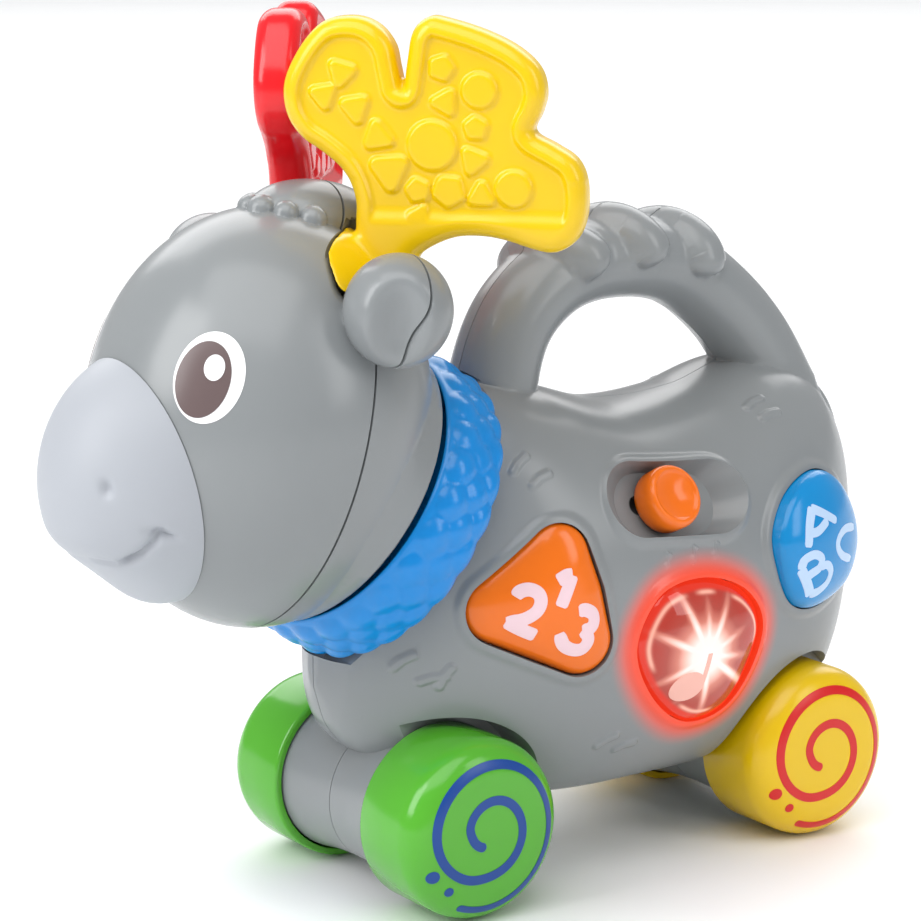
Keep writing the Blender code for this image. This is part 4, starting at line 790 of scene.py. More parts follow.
for x, z in BODY_SCREWS:
    keep.append(rod(POST_R, -0.1, 0.1, side(x + AXLE_X, z, 1.0), 24))
carve(hollow, *keep)
openings = [hollow, rod(NECK_HOLE_R, -0.03, 0.1, NECK, 64)]
for x in AXLES:
    openings.append(barrel(x, WALL, BARREL_END - WALL))
    openings.append(rod(AXLE_BORE_R, -0.05, 0.05, side(x, WHEEL_R, 1.0), 48))
for place, tips, radius in CONTROLS.values():
    openings.append(prism(rounded(tips, radius, 0.0004), -LEDGE - 0.001, 0.05, place))
    openings.append(prism(rounded(tips, radius, 0.0022), -PLATE - 0.0016, -LEDGE, place))

# %% Slider dish, speaker grille, screw bores and battery bay
def tapered(outline_low, outline_high, low, high, place):
    """A cutter with sloping walls: an extruded outline whose far end is redrawn wider."""
    made = prism(outline_low, low, high, Matrix.Identity(4))
    points = points_of(made)
    upper = points[:, 2] > (low + high) / 2
    flat = np.asarray(outline_low)
    match = ((points[upper, None, :2] - flat) ** 2).sum(2).argmin(1)
    points[upper, :2] = np.asarray(outline_high)[match]
    set_points(made, points)
    return settle(made, place)


DISH_FLOOR, DISH_MOUTH, TRACK = slot(0.0380, 0.0200), slot(0.0790, 0.0306), slot(0.027, 0.006)
openings.append(tapered(DISH_FLOOR, DISH_MOUTH, -DISH_DEEP, 0.0120, DISH))
openings.append(prism(TRACK, -0.02, 0.0, DISH))
SPEAKER_X, SPEAKER_Z, GRILLE_RING, GRILLE_HOLE_R = 0.072 + AXLE_X, 0.086, 0.0085, 0.0018
SCREW_BORE_R, SCREW_BORE_FROM = 0.0034, 0.0085
for k in range(7):
    turn = math.tau * k / 6
    ring = GRILLE_RING if k < 6 else 0.0
    place = side(SPEAKER_X + ring * math.cos(turn), SPEAKER_Z + ring * math.sin(turn), 1.0)
    openings.append(rod(GRILLE_HOLE_R, 0.02, 0.09, place, 24))
for x, z in BODY_SCREWS:
    openings.append(rod(SCREW_BORE_R, SCREW_BORE_FROM, 0.09, side(x + AXLE_X, z, 1.0), 32))
low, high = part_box("battery_door")
DOOR_GAP = 0.0003
bay = block((low[0] - DOOR_GAP, low[1] - DOOR_GAP, 0.0), (high[0] + DOOR_GAP, high[1] + DOOR_GAP, high[2] + 0.004))
print("cuts in the body:", len(openings) + 1)
carve(body, *openings, bay)

# %% Two halves
SEAM = 0.00013
right_half = twin(body, "right_half")
cut(body, block((-0.3, -0.2, -0.1), (0.3, -SEAM, 0.4)), "INTERSECT")
cut(right_half, block((-0.3, SEAM, -0.1), (0.3, 0.2, 0.4)), "INTERSECT")
piece(body, "moose_body_left", GREY, "toy_body", ["body_shell_left"])
piece(right_half, "moose_body_right", GREY, "toy_body", ["body_shell_right"])

# %% [markdown]
# ## The head
# The head is an egg that leans back a little, with two cupped ears and a tuft of hair with a few beads at its
# edge, united into one skin. A short round skirt under it comes close to the collar, which turns below it. The
# head's two shells part along a sloping plane that runs through both ears: the dark line over the cheek is
# that gap.

# %% Head lumps
HEAD_AT = Vector((-0.0450 + AXLE_X, 0.0, 0.1465))
HEAD_SEMI = (0.0498, 0.0487, 0.0603)
HEAD_LEAN = math.radians(8.1)
EAR_AT = Vector((-0.0302 + AXLE_X, -0.0490, 0.1824))
EAR_DENT, EAR_DENT_R = 0.0062, 0.0105
head = egg(HEAD_AT, HEAD_SEMI, HEAD_LEAN, 224)


def head_hits(start, way):
    """How far along a ray it enters and leaves the head's egg."""
    back = np.array(Matrix.Rotation(HEAD_LEAN, 3, "Y"))
    a = (np.asarray(start) - np.array(HEAD_AT)) @ back / HEAD_SEMI
    b = np.asarray(way) @ back / HEAD_SEMI
    square, cross, rest = (b * b).sum(-1), (a * b).sum(-1), (a * a).sum(-1) - 1
    root = np.sqrt(np.maximum(cross**2 - square * rest, 0.0))
    return (-cross - root) / square, (-cross + root) / square


NECK_AXIS = np.array(NECK.col[2][:3])


def under_head(radius):
    """Height, along the neck, of the lowest point of the head over a circle of this radius."""
    turns = np.linspace(0, math.tau, 73)
    ring = np.column_stack([radius * np.cos(turns), radius * np.sin(turns), 0 * turns])
    start = ring @ np.array(NECK.to_3x3()).T + np.array(NECK.translation)
    return float(head_hits(start, NECK_AXIS)[0].min())


COLLAR_LIP, COLLAR_GAP = 0.0446, 0.0012
brim = under_head(COLLAR_LIP) - COLLAR_GAP
print("collar brim:", round(brim, 4))
TUFT_X = -0.0262 + AXLE_X
lumps = [egg((TUFT_X, 0.0, 0.2026), (0.0205, 0.0146, 0.0104), 0.12, 96)]
for sign in (-1, 1):
    ear = egg((EAR_AT.x, -sign * EAR_AT.y, EAR_AT.z), (0.0150, 0.0155, 0.0158), 0.15, 96)
    skin = points_of(ear)
    hollow_at = np.array((EAR_AT.x - 0.0078, sign * (0.0129 - EAR_AT.y), EAR_AT.z - 0.0030))
    away = np.linalg.norm((skin - hollow_at) * (1.0, 1.0, 0.6), axis=1)
    pull = EAR_DENT * (1 - ease(away, 0.001, EAR_DENT_R))
    set_points(ear, skin - pull[:, None] * np.array((-0.50, sign * 0.85, -0.16)))
    lumps.append(ear)
BEADS = ((-1.25, 0.0036), (-0.75, 0.0042), (-0.25, 0.0038), (0.22, 0.0043), (0.72, 0.0038), (1.15, 0.0042))
for turn, size in BEADS:
    x, y = TUFT_X - 0.0190 * math.cos(turn), -0.0134 * math.sin(turn)
    rise = float(head_hits((x, y, 0.15), (0.0, 0.0, 1.0))[1])
    lumps.append(egg((x, y, 0.1496 + rise), (size, size, size), 0.12, 40))
SKIRT = ((0.0, 0.0007), (0.0436, 0.0007), (0.0441, 0.0013), (0.0442, 0.0060), (0.0438, 0.0140), (0.0, 0.0160))
lumps.append(turned([(radius, brim + rise) for radius, rise in SKIRT], NECK, 160))
carve(head, *lumps, operation="UNION")
soften(head, 1, 3)
print("lumps on the head:", len(lumps))

# %% [markdown]
# ## Outline of an antler
# The head needs a slot for each antler, so the antlers' outline comes first: a smooth closed curve through
# measured corners. One small tool follows, which stacks outlines into a solid.

# %% Antler outline
ANTLER_OUTLINE = np.array([
    (-0.0020, 0.004), (-0.0046, 0.0150), (-0.0045, 0.0220), (-0.0075, 0.0297), (-0.0135, 0.0351),
    (-0.0192, 0.0389), (-0.0232, 0.0440), (-0.0248, 0.0504), (-0.0239, 0.0567), (-0.0198, 0.0645),
    (-0.0146, 0.0704), (-0.0095, 0.0726), (-0.0029, 0.0727), (0.0027, 0.0701), (0.0066, 0.0650),
    (0.0080, 0.0588), (0.0094, 0.0535), (0.0105, 0.0605), (0.0122, 0.0690), (0.0165, 0.0730),
    (0.0215, 0.0726), (0.0321, 0.0695), (0.0413, 0.0651), (0.0474, 0.0595), (0.0493, 0.0528),
    (0.0480, 0.0471), (0.0461, 0.0421), (0.0519, 0.0387), (0.0578, 0.0348), (0.0606, 0.0286),
    (0.0607, 0.0195), (0.0580, 0.0125), (0.0521, 0.0087), (0.0457, 0.0096), (0.0378, 0.0119),
    (0.0308, 0.0128), (0.0229, 0.0120), (0.0141, 0.0075), (0.0100, 0.0020),
]) + (0.0045, 0.0)
PEBBLES = [
    (18.1, 38.1, 7.2, 0, 0), (-7.4, 57.6, 4.6, 3, 15), (-12.6, 51.2, 4.4, 3, 160), (-3.6, 48.0, 4.8, 3, -80),
    (2.8, 40.2, 5.0, 3, 100), (6.0, 30.8, 6.2, 3, -85), (14.0, 25.6, 3.9, 5, 30), (20.9, 59.4, 4.0, 5, 0),
    (31.4, 53.4, 5.2, 0, 0), (21.8, 50.0, 4.4, 3, 180), (30.4, 43.2, 3.8, 5, 20), (29.8, 34.2, 4.6, 3, 130),
    (22.8, 25.6, 5.0, 5, 50), (32.0, 24.6, 4.4, 3, 90), (41.0, 26.6, 5.4, 0, 0), (14.4, 18.6, 3.8, 3, 60),
]


def stacked(layers):
    """Outlines of the same count at their heights, skinned one to the next, both ends closed."""
    count = len(layers[0][0])
    points = [(u, v, height) for outline, height in layers for u, v in outline]
    faces = [tuple(range(count))[::-1], tuple(range(len(points) - count, len(points)))]
    for k in range(len(points) - count):
        ahead = k - count + 1 if (k + 1) % count == 0 else k + 1
        faces.append((k, ahead, ahead + count, k + count))
    mesh = bpy.data.meshes.new("stack")
    mesh.from_pydata(points, [], faces)
    made = bpy.data.objects.new("stack", mesh)
    bpy.context.collection.objects.link(made)
    return face_out(made)


# %% Hollow the head and part it
ANTLER_LEFT = Matrix((
    (0.66913, -0.01297, -0.74303, -0.05275),
    (-0.74314, -0.01168, -0.66903, -0.01786),
    (0.0, 0.99985, -0.01745, 0.1871),
    (0.0, 0.0, 0.0, 1.0),
))
MIRROR = Matrix.Diagonal((1.0, -1.0, 1.0, 1.0))
DRUM_R, ANTLER_HALF = 0.0126, 0.0065
FOOT_TIPS = ((-0.0040, 0.0098), (0.0048, -0.0010), (0.0165, 0.0060), (0.0165, 0.0240), (0.0008, 0.0255))
FOOT_ROUND, FOOT_PROUD = 0.0062, 0.0012
SOCKET_R, SOCKET_HALF = 0.0179, 0.0089
DRUM_ROOM, PALM_ROOM = 0.0069, 0.0067
NECK_BORE_R, NECK_BORE_END = 0.0178, 0.0182
ROCK, ROCK_PLAY, REST_PLAY = math.radians(12), 0.0014, 0.0003


def foot(grow):
    """The antler's foot: a rounded block that ends level with the head's skin, in the antler's frame."""
    made = prism(rounded(FOOT_TIPS, FOOT_ROUND, grow), -ANTLER_HALF - grow, 0.034, ANTLER_LEFT)
    cut(made, egg(HEAD_AT, [s + FOOT_PROUD + grow for s in HEAD_SEMI], HEAD_LEAN, 160), "INTERSECT")
    return settle(made, ANTLER_LEFT.inverted())


hollow = egg(HEAD_AT, [s - WALL for s in HEAD_SEMI], HEAD_LEAN, 64)
cut(hollow, rod(0.12, -0.2, NECK_WALL + WALL, NECK, 48))
for flip in (Matrix.Identity(4), MIRROR):
    cut(hollow, face_out(rod(SOCKET_R, -SOCKET_HALF, SOCKET_HALF, flip @ ANTLER_LEFT, 48)))
rooms = [hollow, rod(0.12, -0.2, NECK_WALL, NECK, 48), rod(NECK_BORE_R, -0.2, NECK_BORE_END, NECK, 48)]
for flip in (Matrix.Identity(4), MIRROR):
    place = flip @ ANTLER_LEFT
    rooms.append(face_out(rod(DRUM_R + 0.0005, -DRUM_ROOM, DRUM_ROOM, place, 96)))
    for share in (0.0, 0.33, 0.67, 1.0):
        turned_by = place @ Matrix.Rotation(-ROCK * share, 4, "Z")
        play = ROCK_PLAY if share else REST_PLAY
        wide_palm = [tuple(p) for p in drawn_in(flowing(ANTLER_OUTLINE, 5), -0.0003 - play)]
        rooms.append(face_out(settle(foot(play), turned_by)))
        rooms.append(face_out(prism(wide_palm, -PALM_ROOM - play, PALM_ROOM + play, turned_by)))
carve(head, *rooms)
PART_LEAN = math.radians(14.5)
PARTING = frame_on((-0.0395 + AXLE_X, 0.0, 0.148), (-math.cos(PART_LEAN), 0.0, math.sin(PART_LEAN)))
HEAD_GAP = 0.00038
SQUARE = [(-0.15, -0.15), (0.15, -0.15), (0.15, 0.15), (-0.15, 0.15)]
head_rear = twin(head, "head_rear")
cut(head, prism(SQUARE, HEAD_GAP, 0.2, PARTING), "INTERSECT")
cut(head_rear, prism(SQUARE, -0.2, -HEAD_GAP, PARTING), "INTERSECT")
piece(head, "moose_head_front", GREY, "toy_body", ["head_shell_front"])
piece(head_rear, "moose_head_rear", GREY, "toy_body", ["head_shell_rear"])

# %% [markdown]
# ## The muzzle
# The muzzle is a soft matt moulding that caps the front of the head: an egg again, with the chin drawn
# back, two nostril dimples and a smile pressed in. Points that lie near a drawn line are pushed towards the
# middle of the egg, and a nostril is only a very short line.

# %% Muzzle
MUZZLE_AT = Vector((-0.0785 + AXLE_X, 0.0, 0.1346))
MUZZLE_SEMI = (0.0335, 0.0313, 0.0370)
MUZZLE_LEAN = math.radians(12.3)
muzzle = egg(MUZZLE_AT, MUZZLE_SEMI, MUZZLE_LEAN, 288)


def press(obj, line, depth, width):
    """Push points inwards where they lie within width of a line of points in space."""
    skin = points_of(obj)
    middle = np.array(MUZZLE_AT)
    inward = middle - skin
    inward /= np.linalg.norm(inward, axis=1)[:, None]
    set_points(obj, skin + inward * (depth * np.exp(-((to_line(skin, line) / width) ** 2)))[:, None])


skin = points_of(muzzle)
chin = ease(-skin[:, 2], -0.1220, -0.1000) * ease(-skin[:, 0], 0.105, 0.142)
skin[:, 0] += 0.0075 * chin
skin[:, 2] += 0.0012 * chin
set_points(muzzle, skin)


def spots(*xyz):
    """Measured points, in millimetres from the front axle, as places in the model."""
    return [(x / 1000 + AXLE_X, y / 1000, z / 1000) for x, y, z in xyz]


for sign in (1, -1):
    nostril = spots((-105.6, sign * -19.6, 136.6), (-105.8, sign * -19.4, 137.4))
    smile = spots(
        (-106.5, 0.0, 113.2), (-106.3, sign * -4.0, 113.4), (-106, sign * -7.8, 114),
        (-100.9, sign * -16, 113.6), (-96.5, sign * -22, 118.5), (-93.2, sign * -26.9, 124.2),
    )
    crease = spots((-96.0, sign * -24.2, 125.2), (-93.2, sign * -26.6, 124.6), (-88.5, sign * -29.8, 122.0))
    press(muzzle, nostril, 0.0021, 0.0018)
    press(muzzle, smile, 0.0025, 0.0013)
    press(muzzle, crease, 0.0018, 0.0012)
cut(muzzle, egg(HEAD_AT, [s + 0.0004 for s in HEAD_SEMI], HEAD_LEAN, 128))
piece(muzzle, "moose_muzzle", PALE, "toy_body", ["muzzle"])

# %% [markdown]
# ## The antlers
# Each antler is a flat palm with a thick rounded rim. Inside the rim both faces lie deeper and are covered
# with pebbles, for small fingers to feel. A drum at its foot sits in the head on a pin. The palm is built
# from stacked copies of its outline, drawn in towards both faces, and melted together with the drum and with
# a foot that ends level with the head's skin. The points at the foot are eased, so that trunk and foot flow
# into each other. The recess and the pebbles are a relief: every point of a face moves by its distance to the
# outline and to the pebbles.

# %% Antler
EDGE_ROUND, RECESS, RIM = 0.0045, 0.0017, 0.0043
outline = flowing(ANTLER_OUTLINE, 5)
layers = []
for degrees in (0, 15, 30, 45, 60, 75, 90):
    a = math.radians(degrees)
    inwards, down = EDGE_ROUND * (1 - math.sin(a)), EDGE_ROUND * (1 - math.cos(a))
    layers.append((drawn_in(outline, inwards), ANTLER_HALF - down))
antler = stacked([(line, -height) for line, height in layers] + layers[::-1])
drum = [
    (0.0, -ANTLER_HALF), (DRUM_R - 0.002, -ANTLER_HALF),
    (DRUM_R - 0.0006, -ANTLER_HALF + 0.0006), (DRUM_R, -ANTLER_HALF + 0.002),
]
join(antler, foot(0.0), turned(drum + [(r, -h) for r, h in reversed(drum)], Matrix.Identity(4), 96))
melt(antler, 0.0005, 3)
FOOT_BLEND = 0.0290
low_points = antler.vertex_groups.new(name="foot")
low_points.add([v.index for v in antler.data.vertices if v.co.y < FOOT_BLEND and v.co.z > 0.0], 1.0, "REPLACE")
modify(antler, "SMOOTH", factor=0.5, iterations=80, vertex_group="foot")
antler.vertex_groups.clear()

# %% Antler relief
skin = points_of(antler)
faces_at = ease(np.abs(skin[:, 2]), 0.0045, 0.0060)
inside = -distance_to(outline, skin[:, :2])
sunk = ease(inside, RIM, RIM + 0.0016) * ease(skin[:, 1], 0.0160, 0.0210)
relief = np.zeros(len(skin))
for u, w, size, sides, degrees in PEBBLES:
    at = np.array((u / 1000 + 0.0045, w / 1000))
    near = np.hypot(*(skin[:, :2] - at).T) < size / 1000 + 0.002
    corners = [math.radians(degrees) + math.tau * k / (sides or 24) for k in range(sides or 24)]
    tips = [at + size / 1000 * np.array((math.cos(a), math.sin(a))) for a in corners]
    edge = rounded(tips, 0.38 * size / 1000, steps=6) if sides else tips
    relief[near] = np.maximum(relief[near], ease(-distance_to(edge, skin[near, :2]), -0.0004, 0.0007))
depth = RECESS * sunk * (1 - 0.75 * relief) * faces_at
skin[:, 2] -= np.sign(skin[:, 2]) * depth
set_points(antler, skin)
modify(antler, "SMOOTH", factor=0.5, iterations=3)
PIN_BORE_R = 0.0023
cut(antler, rod(PIN_BORE_R, -0.02, 0.02, Matrix.Identity(4), 32))
other = twin(antler, "other")
settle(antler, ANTLER_LEFT)
settle(other, MIRROR @ ANTLER_LEFT)
piece(antler, "moose_antler_left", YELLOW, "left_antler", ["antler_left"])
piece(face_out(other), "moose_antler_right", RED, "right_antler", ["antler_right"])

# %% [markdown]
# ## The collar
# The collar is a fat ring with uneven soft bumps all round, so that it rattles under the fingers when it is
# turned on the neck. It is spun from a profile whose brim rises under the head as far as a full turn allows,
# and three rows of low cobbles are then swelled on its outside.

# %% Collar
COLLAR_R, COLLAR_IN, COLLAR_HALF = 0.0467, 0.0301, 0.0085
COBBLES, COBBLE_R, COBBLE_HIGH, ROW_STEP = 26, 0.0074, 0.0022, 0.0072
profile = [(COLLAR_IN, -COLLAR_HALF * 0.8), (COLLAR_IN + 0.004, -COLLAR_HALF)]
for b in np.linspace(-1, 0, 29):
    profile.append((COLLAR_R - 0.0060 * abs(b) ** 3.2, COLLAR_HALF * math.sin(b * math.pi / 2)))
for s in np.linspace(0.04, 1, 30):
    profile.append((COLLAR_R - (COLLAR_R - COLLAR_LIP) * s**3.4, brim * math.sin(s * math.pi / 2)))
for radius in np.linspace(COLLAR_LIP - 0.0005, COLLAR_IN + 0.0005, 14):
    profile.append((radius, max(min(under_head(radius) - COLLAR_GAP, brim), COLLAR_HALF * 0.9)))
profile += [(COLLAR_IN, COLLAR_HALF * 0.8), (COLLAR_IN, -COLLAR_HALF * 0.8)]
collar = turned(profile, Matrix.Identity(4), 400)

# %% Collar cobbles
skin = points_of(collar)
radius = np.hypot(skin[:, 0], skin[:, 1])
spread = np.arctan2(skin[:, 1], skin[:, 0]) * COLLAR_R
height = skin[:, 2] * 1.25
swell = np.zeros(len(skin))
for k in range(3 * COBBLES):
    row, column = k % 3 - 0.8, k // 3
    jitter = math.sin(12.9 * k) * 0.9, math.sin(7.3 * k + 1.0) * 0.5
    at = (math.tau / COBBLES * (column + 0.5 * (k % 3 == 1)) - math.pi) * COLLAR_R + jitter[0] / 1000
    across = (spread - at + math.pi * COLLAR_R) % (math.tau * COLLAR_R) - math.pi * COLLAR_R
    away = np.hypot(across, height - row * ROW_STEP - jitter[1] / 1000)
    swell = np.maximum(swell, np.maximum(1 - (away / COBBLE_R) ** 2, 0.0))
waves = COBBLE_HIGH * (swell - 0.80) * ease(radius, 0.0375, 0.0425)
skin[:, :2] *= (1 + waves / radius)[:, None]
set_points(collar, skin)
modify(collar, "SMOOTH", factor=0.5, iterations=5)
piece(settle(collar, NECK), "moose_collar", BLUE, "collar_ring", ["collar"], 60)

# %% [markdown]
# ## The wheels
# Four fat cup wheels, one shape: a slightly domed face, a well-rounded shoulder and a thin rim that runs
# over the barrel's flange. The profile is spun once, and three copies follow, mirrored for the right side.

# %% Wheels
def wheel_face(r):
    """How far the wheel's outer face lies from its inner edge at a radius."""
    share = np.clip(np.asarray(r) / WHEEL_R, 0, 1)
    over = np.maximum(share - 0.60, 0) / 0.40
    return WHEEL_WIDE + 0.0008 - 0.0009 * share**2 - 0.0092 * (1 - (1 - over**2.3) ** (1 / 2.3))


shoulder = 0.6 + 0.4 * np.sin(np.linspace(0.06, 1, 34) * math.pi / 2)
radii = np.concatenate([np.linspace(0, 0.6, 9), shoulder]) * WHEEL_R
profile = [(r, float(wheel_face(r))) for r in radii]
HUB_R, AXLE_R, HUB_LOW, AXLE_END = 0.0062, 0.00215, 0.0039, WHEEL_WIDE - 0.0045
profile += [(WHEEL_R, 0.014), (WHEEL_R, 0.0012), (WHEEL_R - 0.0003, 0.0004), (WHEEL_R - 0.0008, 0.0)]
profile += [(0.0248, 0.0), (0.0244, WHEEL_WIDE - 0.0095), (0.0212, WHEEL_WIDE - 0.0048)]
profile += [(HUB_R, WHEEL_WIDE - 0.0036), (HUB_R, HUB_LOW), (AXLE_R, HUB_LOW), (AXLE_R, AXLE_END), (0.0, AXLE_END)]
wheel = turned(profile, Matrix.Identity(4), 144)
PAIRS = (("front", AXLES[0], GREEN, "green_plastic"), ("rear", AXLES[1], YELLOW, "yellow_plastic"))
WHEELS = {}
for end, x, material, colour in PAIRS:
    for name, sign in (("left", -1.0), ("right", 1.0)):
        made = twin(wheel, "wheel")
        settle(made, side(x, WHEEL_R, sign) @ Matrix.Translation((0.0, 0.0, WHEEL_IN)))
        node = "wheel_%s_%s" % (end, name)
        WHEELS[end, name] = piece(made, "moose_" + node, material, end + "_wheels", [node], 50)
drop(wheel)

# %% [markdown]
# ## Prints
# Eyes, spirals, numbers and letters are printed on the real toy. Here each print is a film a tenth of a
# millimetre thick: the printed surface is copied and swollen a little, and an upright block in the shape of
# the print is cut with it, so that the film follows the curve below it.

# %% Print tool and wheel spirals
FILM = 0.00014


def swollen(surface, amount):
    """A copy of a surface, moved outwards along its normals."""
    made = twin(surface, "swollen")
    made.parent = None
    modify(made, "DISPLACE", strength=amount, mid_level=0.0)
    return made


def film(surface, stamp, name, material, body, lift=FILM):
    """A thin print on a surface, in the shape of an upright stamp."""
    cut(stamp, swollen(surface, lift), "INTERSECT")
    cut(stamp, swollen(surface, 0.00001))
    return piece(stamp, name, material, body, angle=30)


SPIRAL = np.array([
    (0, 0.17), (40, 0.26), (67, 0.33), (129, 0.385), (209, 0.395), (270, 0.415), (314, 0.46),
    (350, 0.56), (398, 0.70), (440, 0.75), (494, 0.775), (573, 0.775), (640, 0.80), (693, 0.845),
])
SPIRAL_START = 217
sweep = np.linspace(0, SPIRAL[-1, 0], 150)
reach = smooth(SPIRAL, 1, sweep) * WHEEL_R
turn = np.radians(SPIRAL_START - sweep)
line = np.column_stack([reach * np.cos(turn), reach * np.sin(turn)])
STROKE = 0.0014


def ribbon(line, half, place, low, high):
    """A stroke with round ends: both sides of a line, closed to one outline and extruded."""
    along = np.gradient(line, axis=0)
    along /= np.linalg.norm(along, axis=1)[:, None]
    across = np.column_stack([-along[:, 1], along[:, 0]]) * np.asarray(half)[:, None]
    tips = []
    for k, sign in ((-1, 1.0), (0, -1.0)):
        a = math.atan2(across[k, 1] * sign, across[k, 0] * sign)
        turns = a - np.linspace(0.3, math.pi - 0.3, 8)
        tips.append(line[k] + np.asarray(half)[k] * np.column_stack([np.cos(turns), np.sin(turns)]))
    outline = np.concatenate([line + across, tips[0], (line - across)[::-1], tips[1]])
    return prism([tuple(p) for p in outline], low, high, place)


half = STROKE * (1 - 0.22 * ease(sweep, 430, 640))
DOTS = ((-0.0199, -0.0090, 0.0019), (-0.0147, -0.0143, 0.0014))
STAMP_LOW, STAMP_HIGH = WHEEL_IN + 0.015, WHEEL_IN + 0.04
for (end, name), made in WHEELS.items():
    x = AXLES[0] if end == "front" else AXLES[1]
    sign = -1.0 if name == "left" else 1.0
    place = side(x, WHEEL_R, sign)
    if sign > 0:
        place = place @ Matrix.Diagonal((-1.0, 1.0, 1.0, 1.0))
    stamps = [ribbon(line, half, place, STAMP_LOW, STAMP_HIGH)]
    for u, v, r in DOTS:
        stamps.append(rod(r, STAMP_LOW, STAMP_HIGH, place @ Matrix.Translation((u, v, 0.0)), 40))
    stamp = face_out(join(*stamps))
    ink, colour = (PRINT_BLUE, "blue_plastic") if end == "front" else (PRINT_RED, "red_plastic")
    film(made, stamp, "print_spiral_%s_%s" % (end, name), ink, end + "_wheels")

# %% [markdown]
# ## Eyes
# A white oval, a brown iris and a round white gleam, each printed over the last and lifted a little more.
# The stamps stand on the head's own normal at the eye.

# %% Eyes
EYE_AT = Vector((-0.0796 + AXLE_X, -0.0307, 0.1667))


def head_normal(point):
    """The outward normal of the head's egg at a point."""
    back = Matrix.Rotation(HEAD_LEAN, 3, "Y")
    flat = back.transposed() @ (point - HEAD_AT)
    return back @ Vector([c / s**2 for c, s in zip(flat, HEAD_SEMI)])


def oval(a, b, tilt, u, v, count=72):
    """An oval outline, turned by tilt and moved to u, v."""
    c, s = math.cos(tilt), math.sin(tilt)
    ring = [(a * math.cos(math.tau * k / count), b * math.sin(math.tau * k / count)) for k in range(count)]
    return [(u + x * c - y * s, v + x * s + y * c) for x, y in ring]


EYE = frame_on(EYE_AT, head_normal(EYE_AT))
for name, flip in (("left", Matrix.Identity(4)), ("right", MIRROR)):
    ovals = (
        ("white", oval(0.0099, 0.0127, -0.22, 0.0, 0.0), PRINT_WHITE, FILM),
        ("iris", oval(0.0077, 0.0106, -0.22, -0.0015, -0.0006), PRINT_IRIS, 2 * FILM),
        ("gleam", oval(0.0029, 0.0036, -0.1, 0.0016, 0.0026), PRINT_WHITE, 3 * FILM),
    )
    for part, outline, ink, lift in ovals:
        stamp = face_out(prism(outline, -0.012, 0.012, flip @ EYE))
        film(head, stamp, "print_eye_%s_%s" % (part, name), ink, "toy_body", lift)

# %% [markdown]
# ## Buttons
# Each button is a plump cushion of plastic with a flange behind the shell's ledge. It is stacked from
# scaled copies of its outline: a flange, a straight side, and a dome whose edge turns over in a round.

# %% Buttons
CAPS = {
    "number": (-0.0022, 0.0030, ORANGE, "orange_plastic"),
    "letter": (0.0010, 0.0078, SKY, "sky_plastic"),
    "lamp": (-0.0020, 0.0052, None, "red_lens"),
}


def dome(outline, base, rim, crown, rows=22):
    """Layers of a cushion: a straight side and a dome that turns over at its edge."""
    outline = np.asarray(outline)
    middle = outline.mean(axis=0)
    layers = [(outline, base)]
    for k in range(rows):
        share = math.cos(math.pi / 2 * k / rows)
        height = rim + (crown - rim) * (1 - share**2) ** 0.58
        layers.append((middle + (outline - middle) * share, height))
    layers.append((middle + (outline - middle) * 0.004, crown))
    return layers


BUTTON = {}
for key, (place, tips, radius) in CONTROLS.items():
    rim, crown = CAPS[key][:2]
    flange = rounded(tips, radius, 0.0016)
    cap = stacked([(flange, -SEAT), (flange, -LEDGE - 0.0003)])
    detail, rows = (44, 64) if key == "lamp" else (14, 22)
    outside = dome(rounded(tips, radius, steps=detail), -SEAT + 0.0004, rim - 0.0012, crown, rows)
    cut(cap, stacked(outside), "UNION")
    if key == "lamp":
        cut(cap, stacked(dome(rounded(tips, radius, -0.0024), -0.03, rim - 0.0034, crown - 0.0024)))
    BUTTON[key] = settle(cap, place)
print("buttons:", *BUTTON)

# %% [markdown]
# ## The lamp lens
# The light button is clear red plastic with a lamp behind it, shown lit: white hot in the middle with a
# few rays, then pink, then a deep red round the edge. The rays are painted glare, and a few pale arcs a few
# millimetres inside the edge are painted reflections. That glow is worked out for every point of the lens and
# kept in a colour attribute, which the material sends to its emission. The red glow on the shell round the lens
# is painted light: an attribute of its own mixes red into the shell's colour and adds red emission.

# %% Lens glow
LAMP, LAMP_TIPS, LAMP_ROUND = CONTROLS["lamp"]
GLOW_AT = np.array((-0.0018, 0.0004))
RAYS = (
    (113, 0.9), (154, 0.8), (206, 0.5), (275, 0.7), (325, 1.3),
    (57, 0.6), (20, 0.3), (85, 0.3), (240, 0.3), (350, 0.4),
)
GLOW = np.array([
    (0.0, 1.0, 0.98, 0.95), (5.6, 1.0, 0.94, 0.89), (8.0, 0.92, 0.62, 0.52), (10.5, 0.56, 0.24, 0.18),
    (14.0, 0.30, 0.075, 0.055), (18.0, 0.30, 0.045, 0.03), (40.0, 0.40, 0.03, 0.012),
])
EDGE_GLOW, PAINTED_REFLECTION = np.array((0.62, 0.030, 0.010)), np.array((0.90, 0.50, 0.38))
PAINTED_REFLECTION_ARCS = ((150, 42), (90, 15), (28, 34), (262, 26))


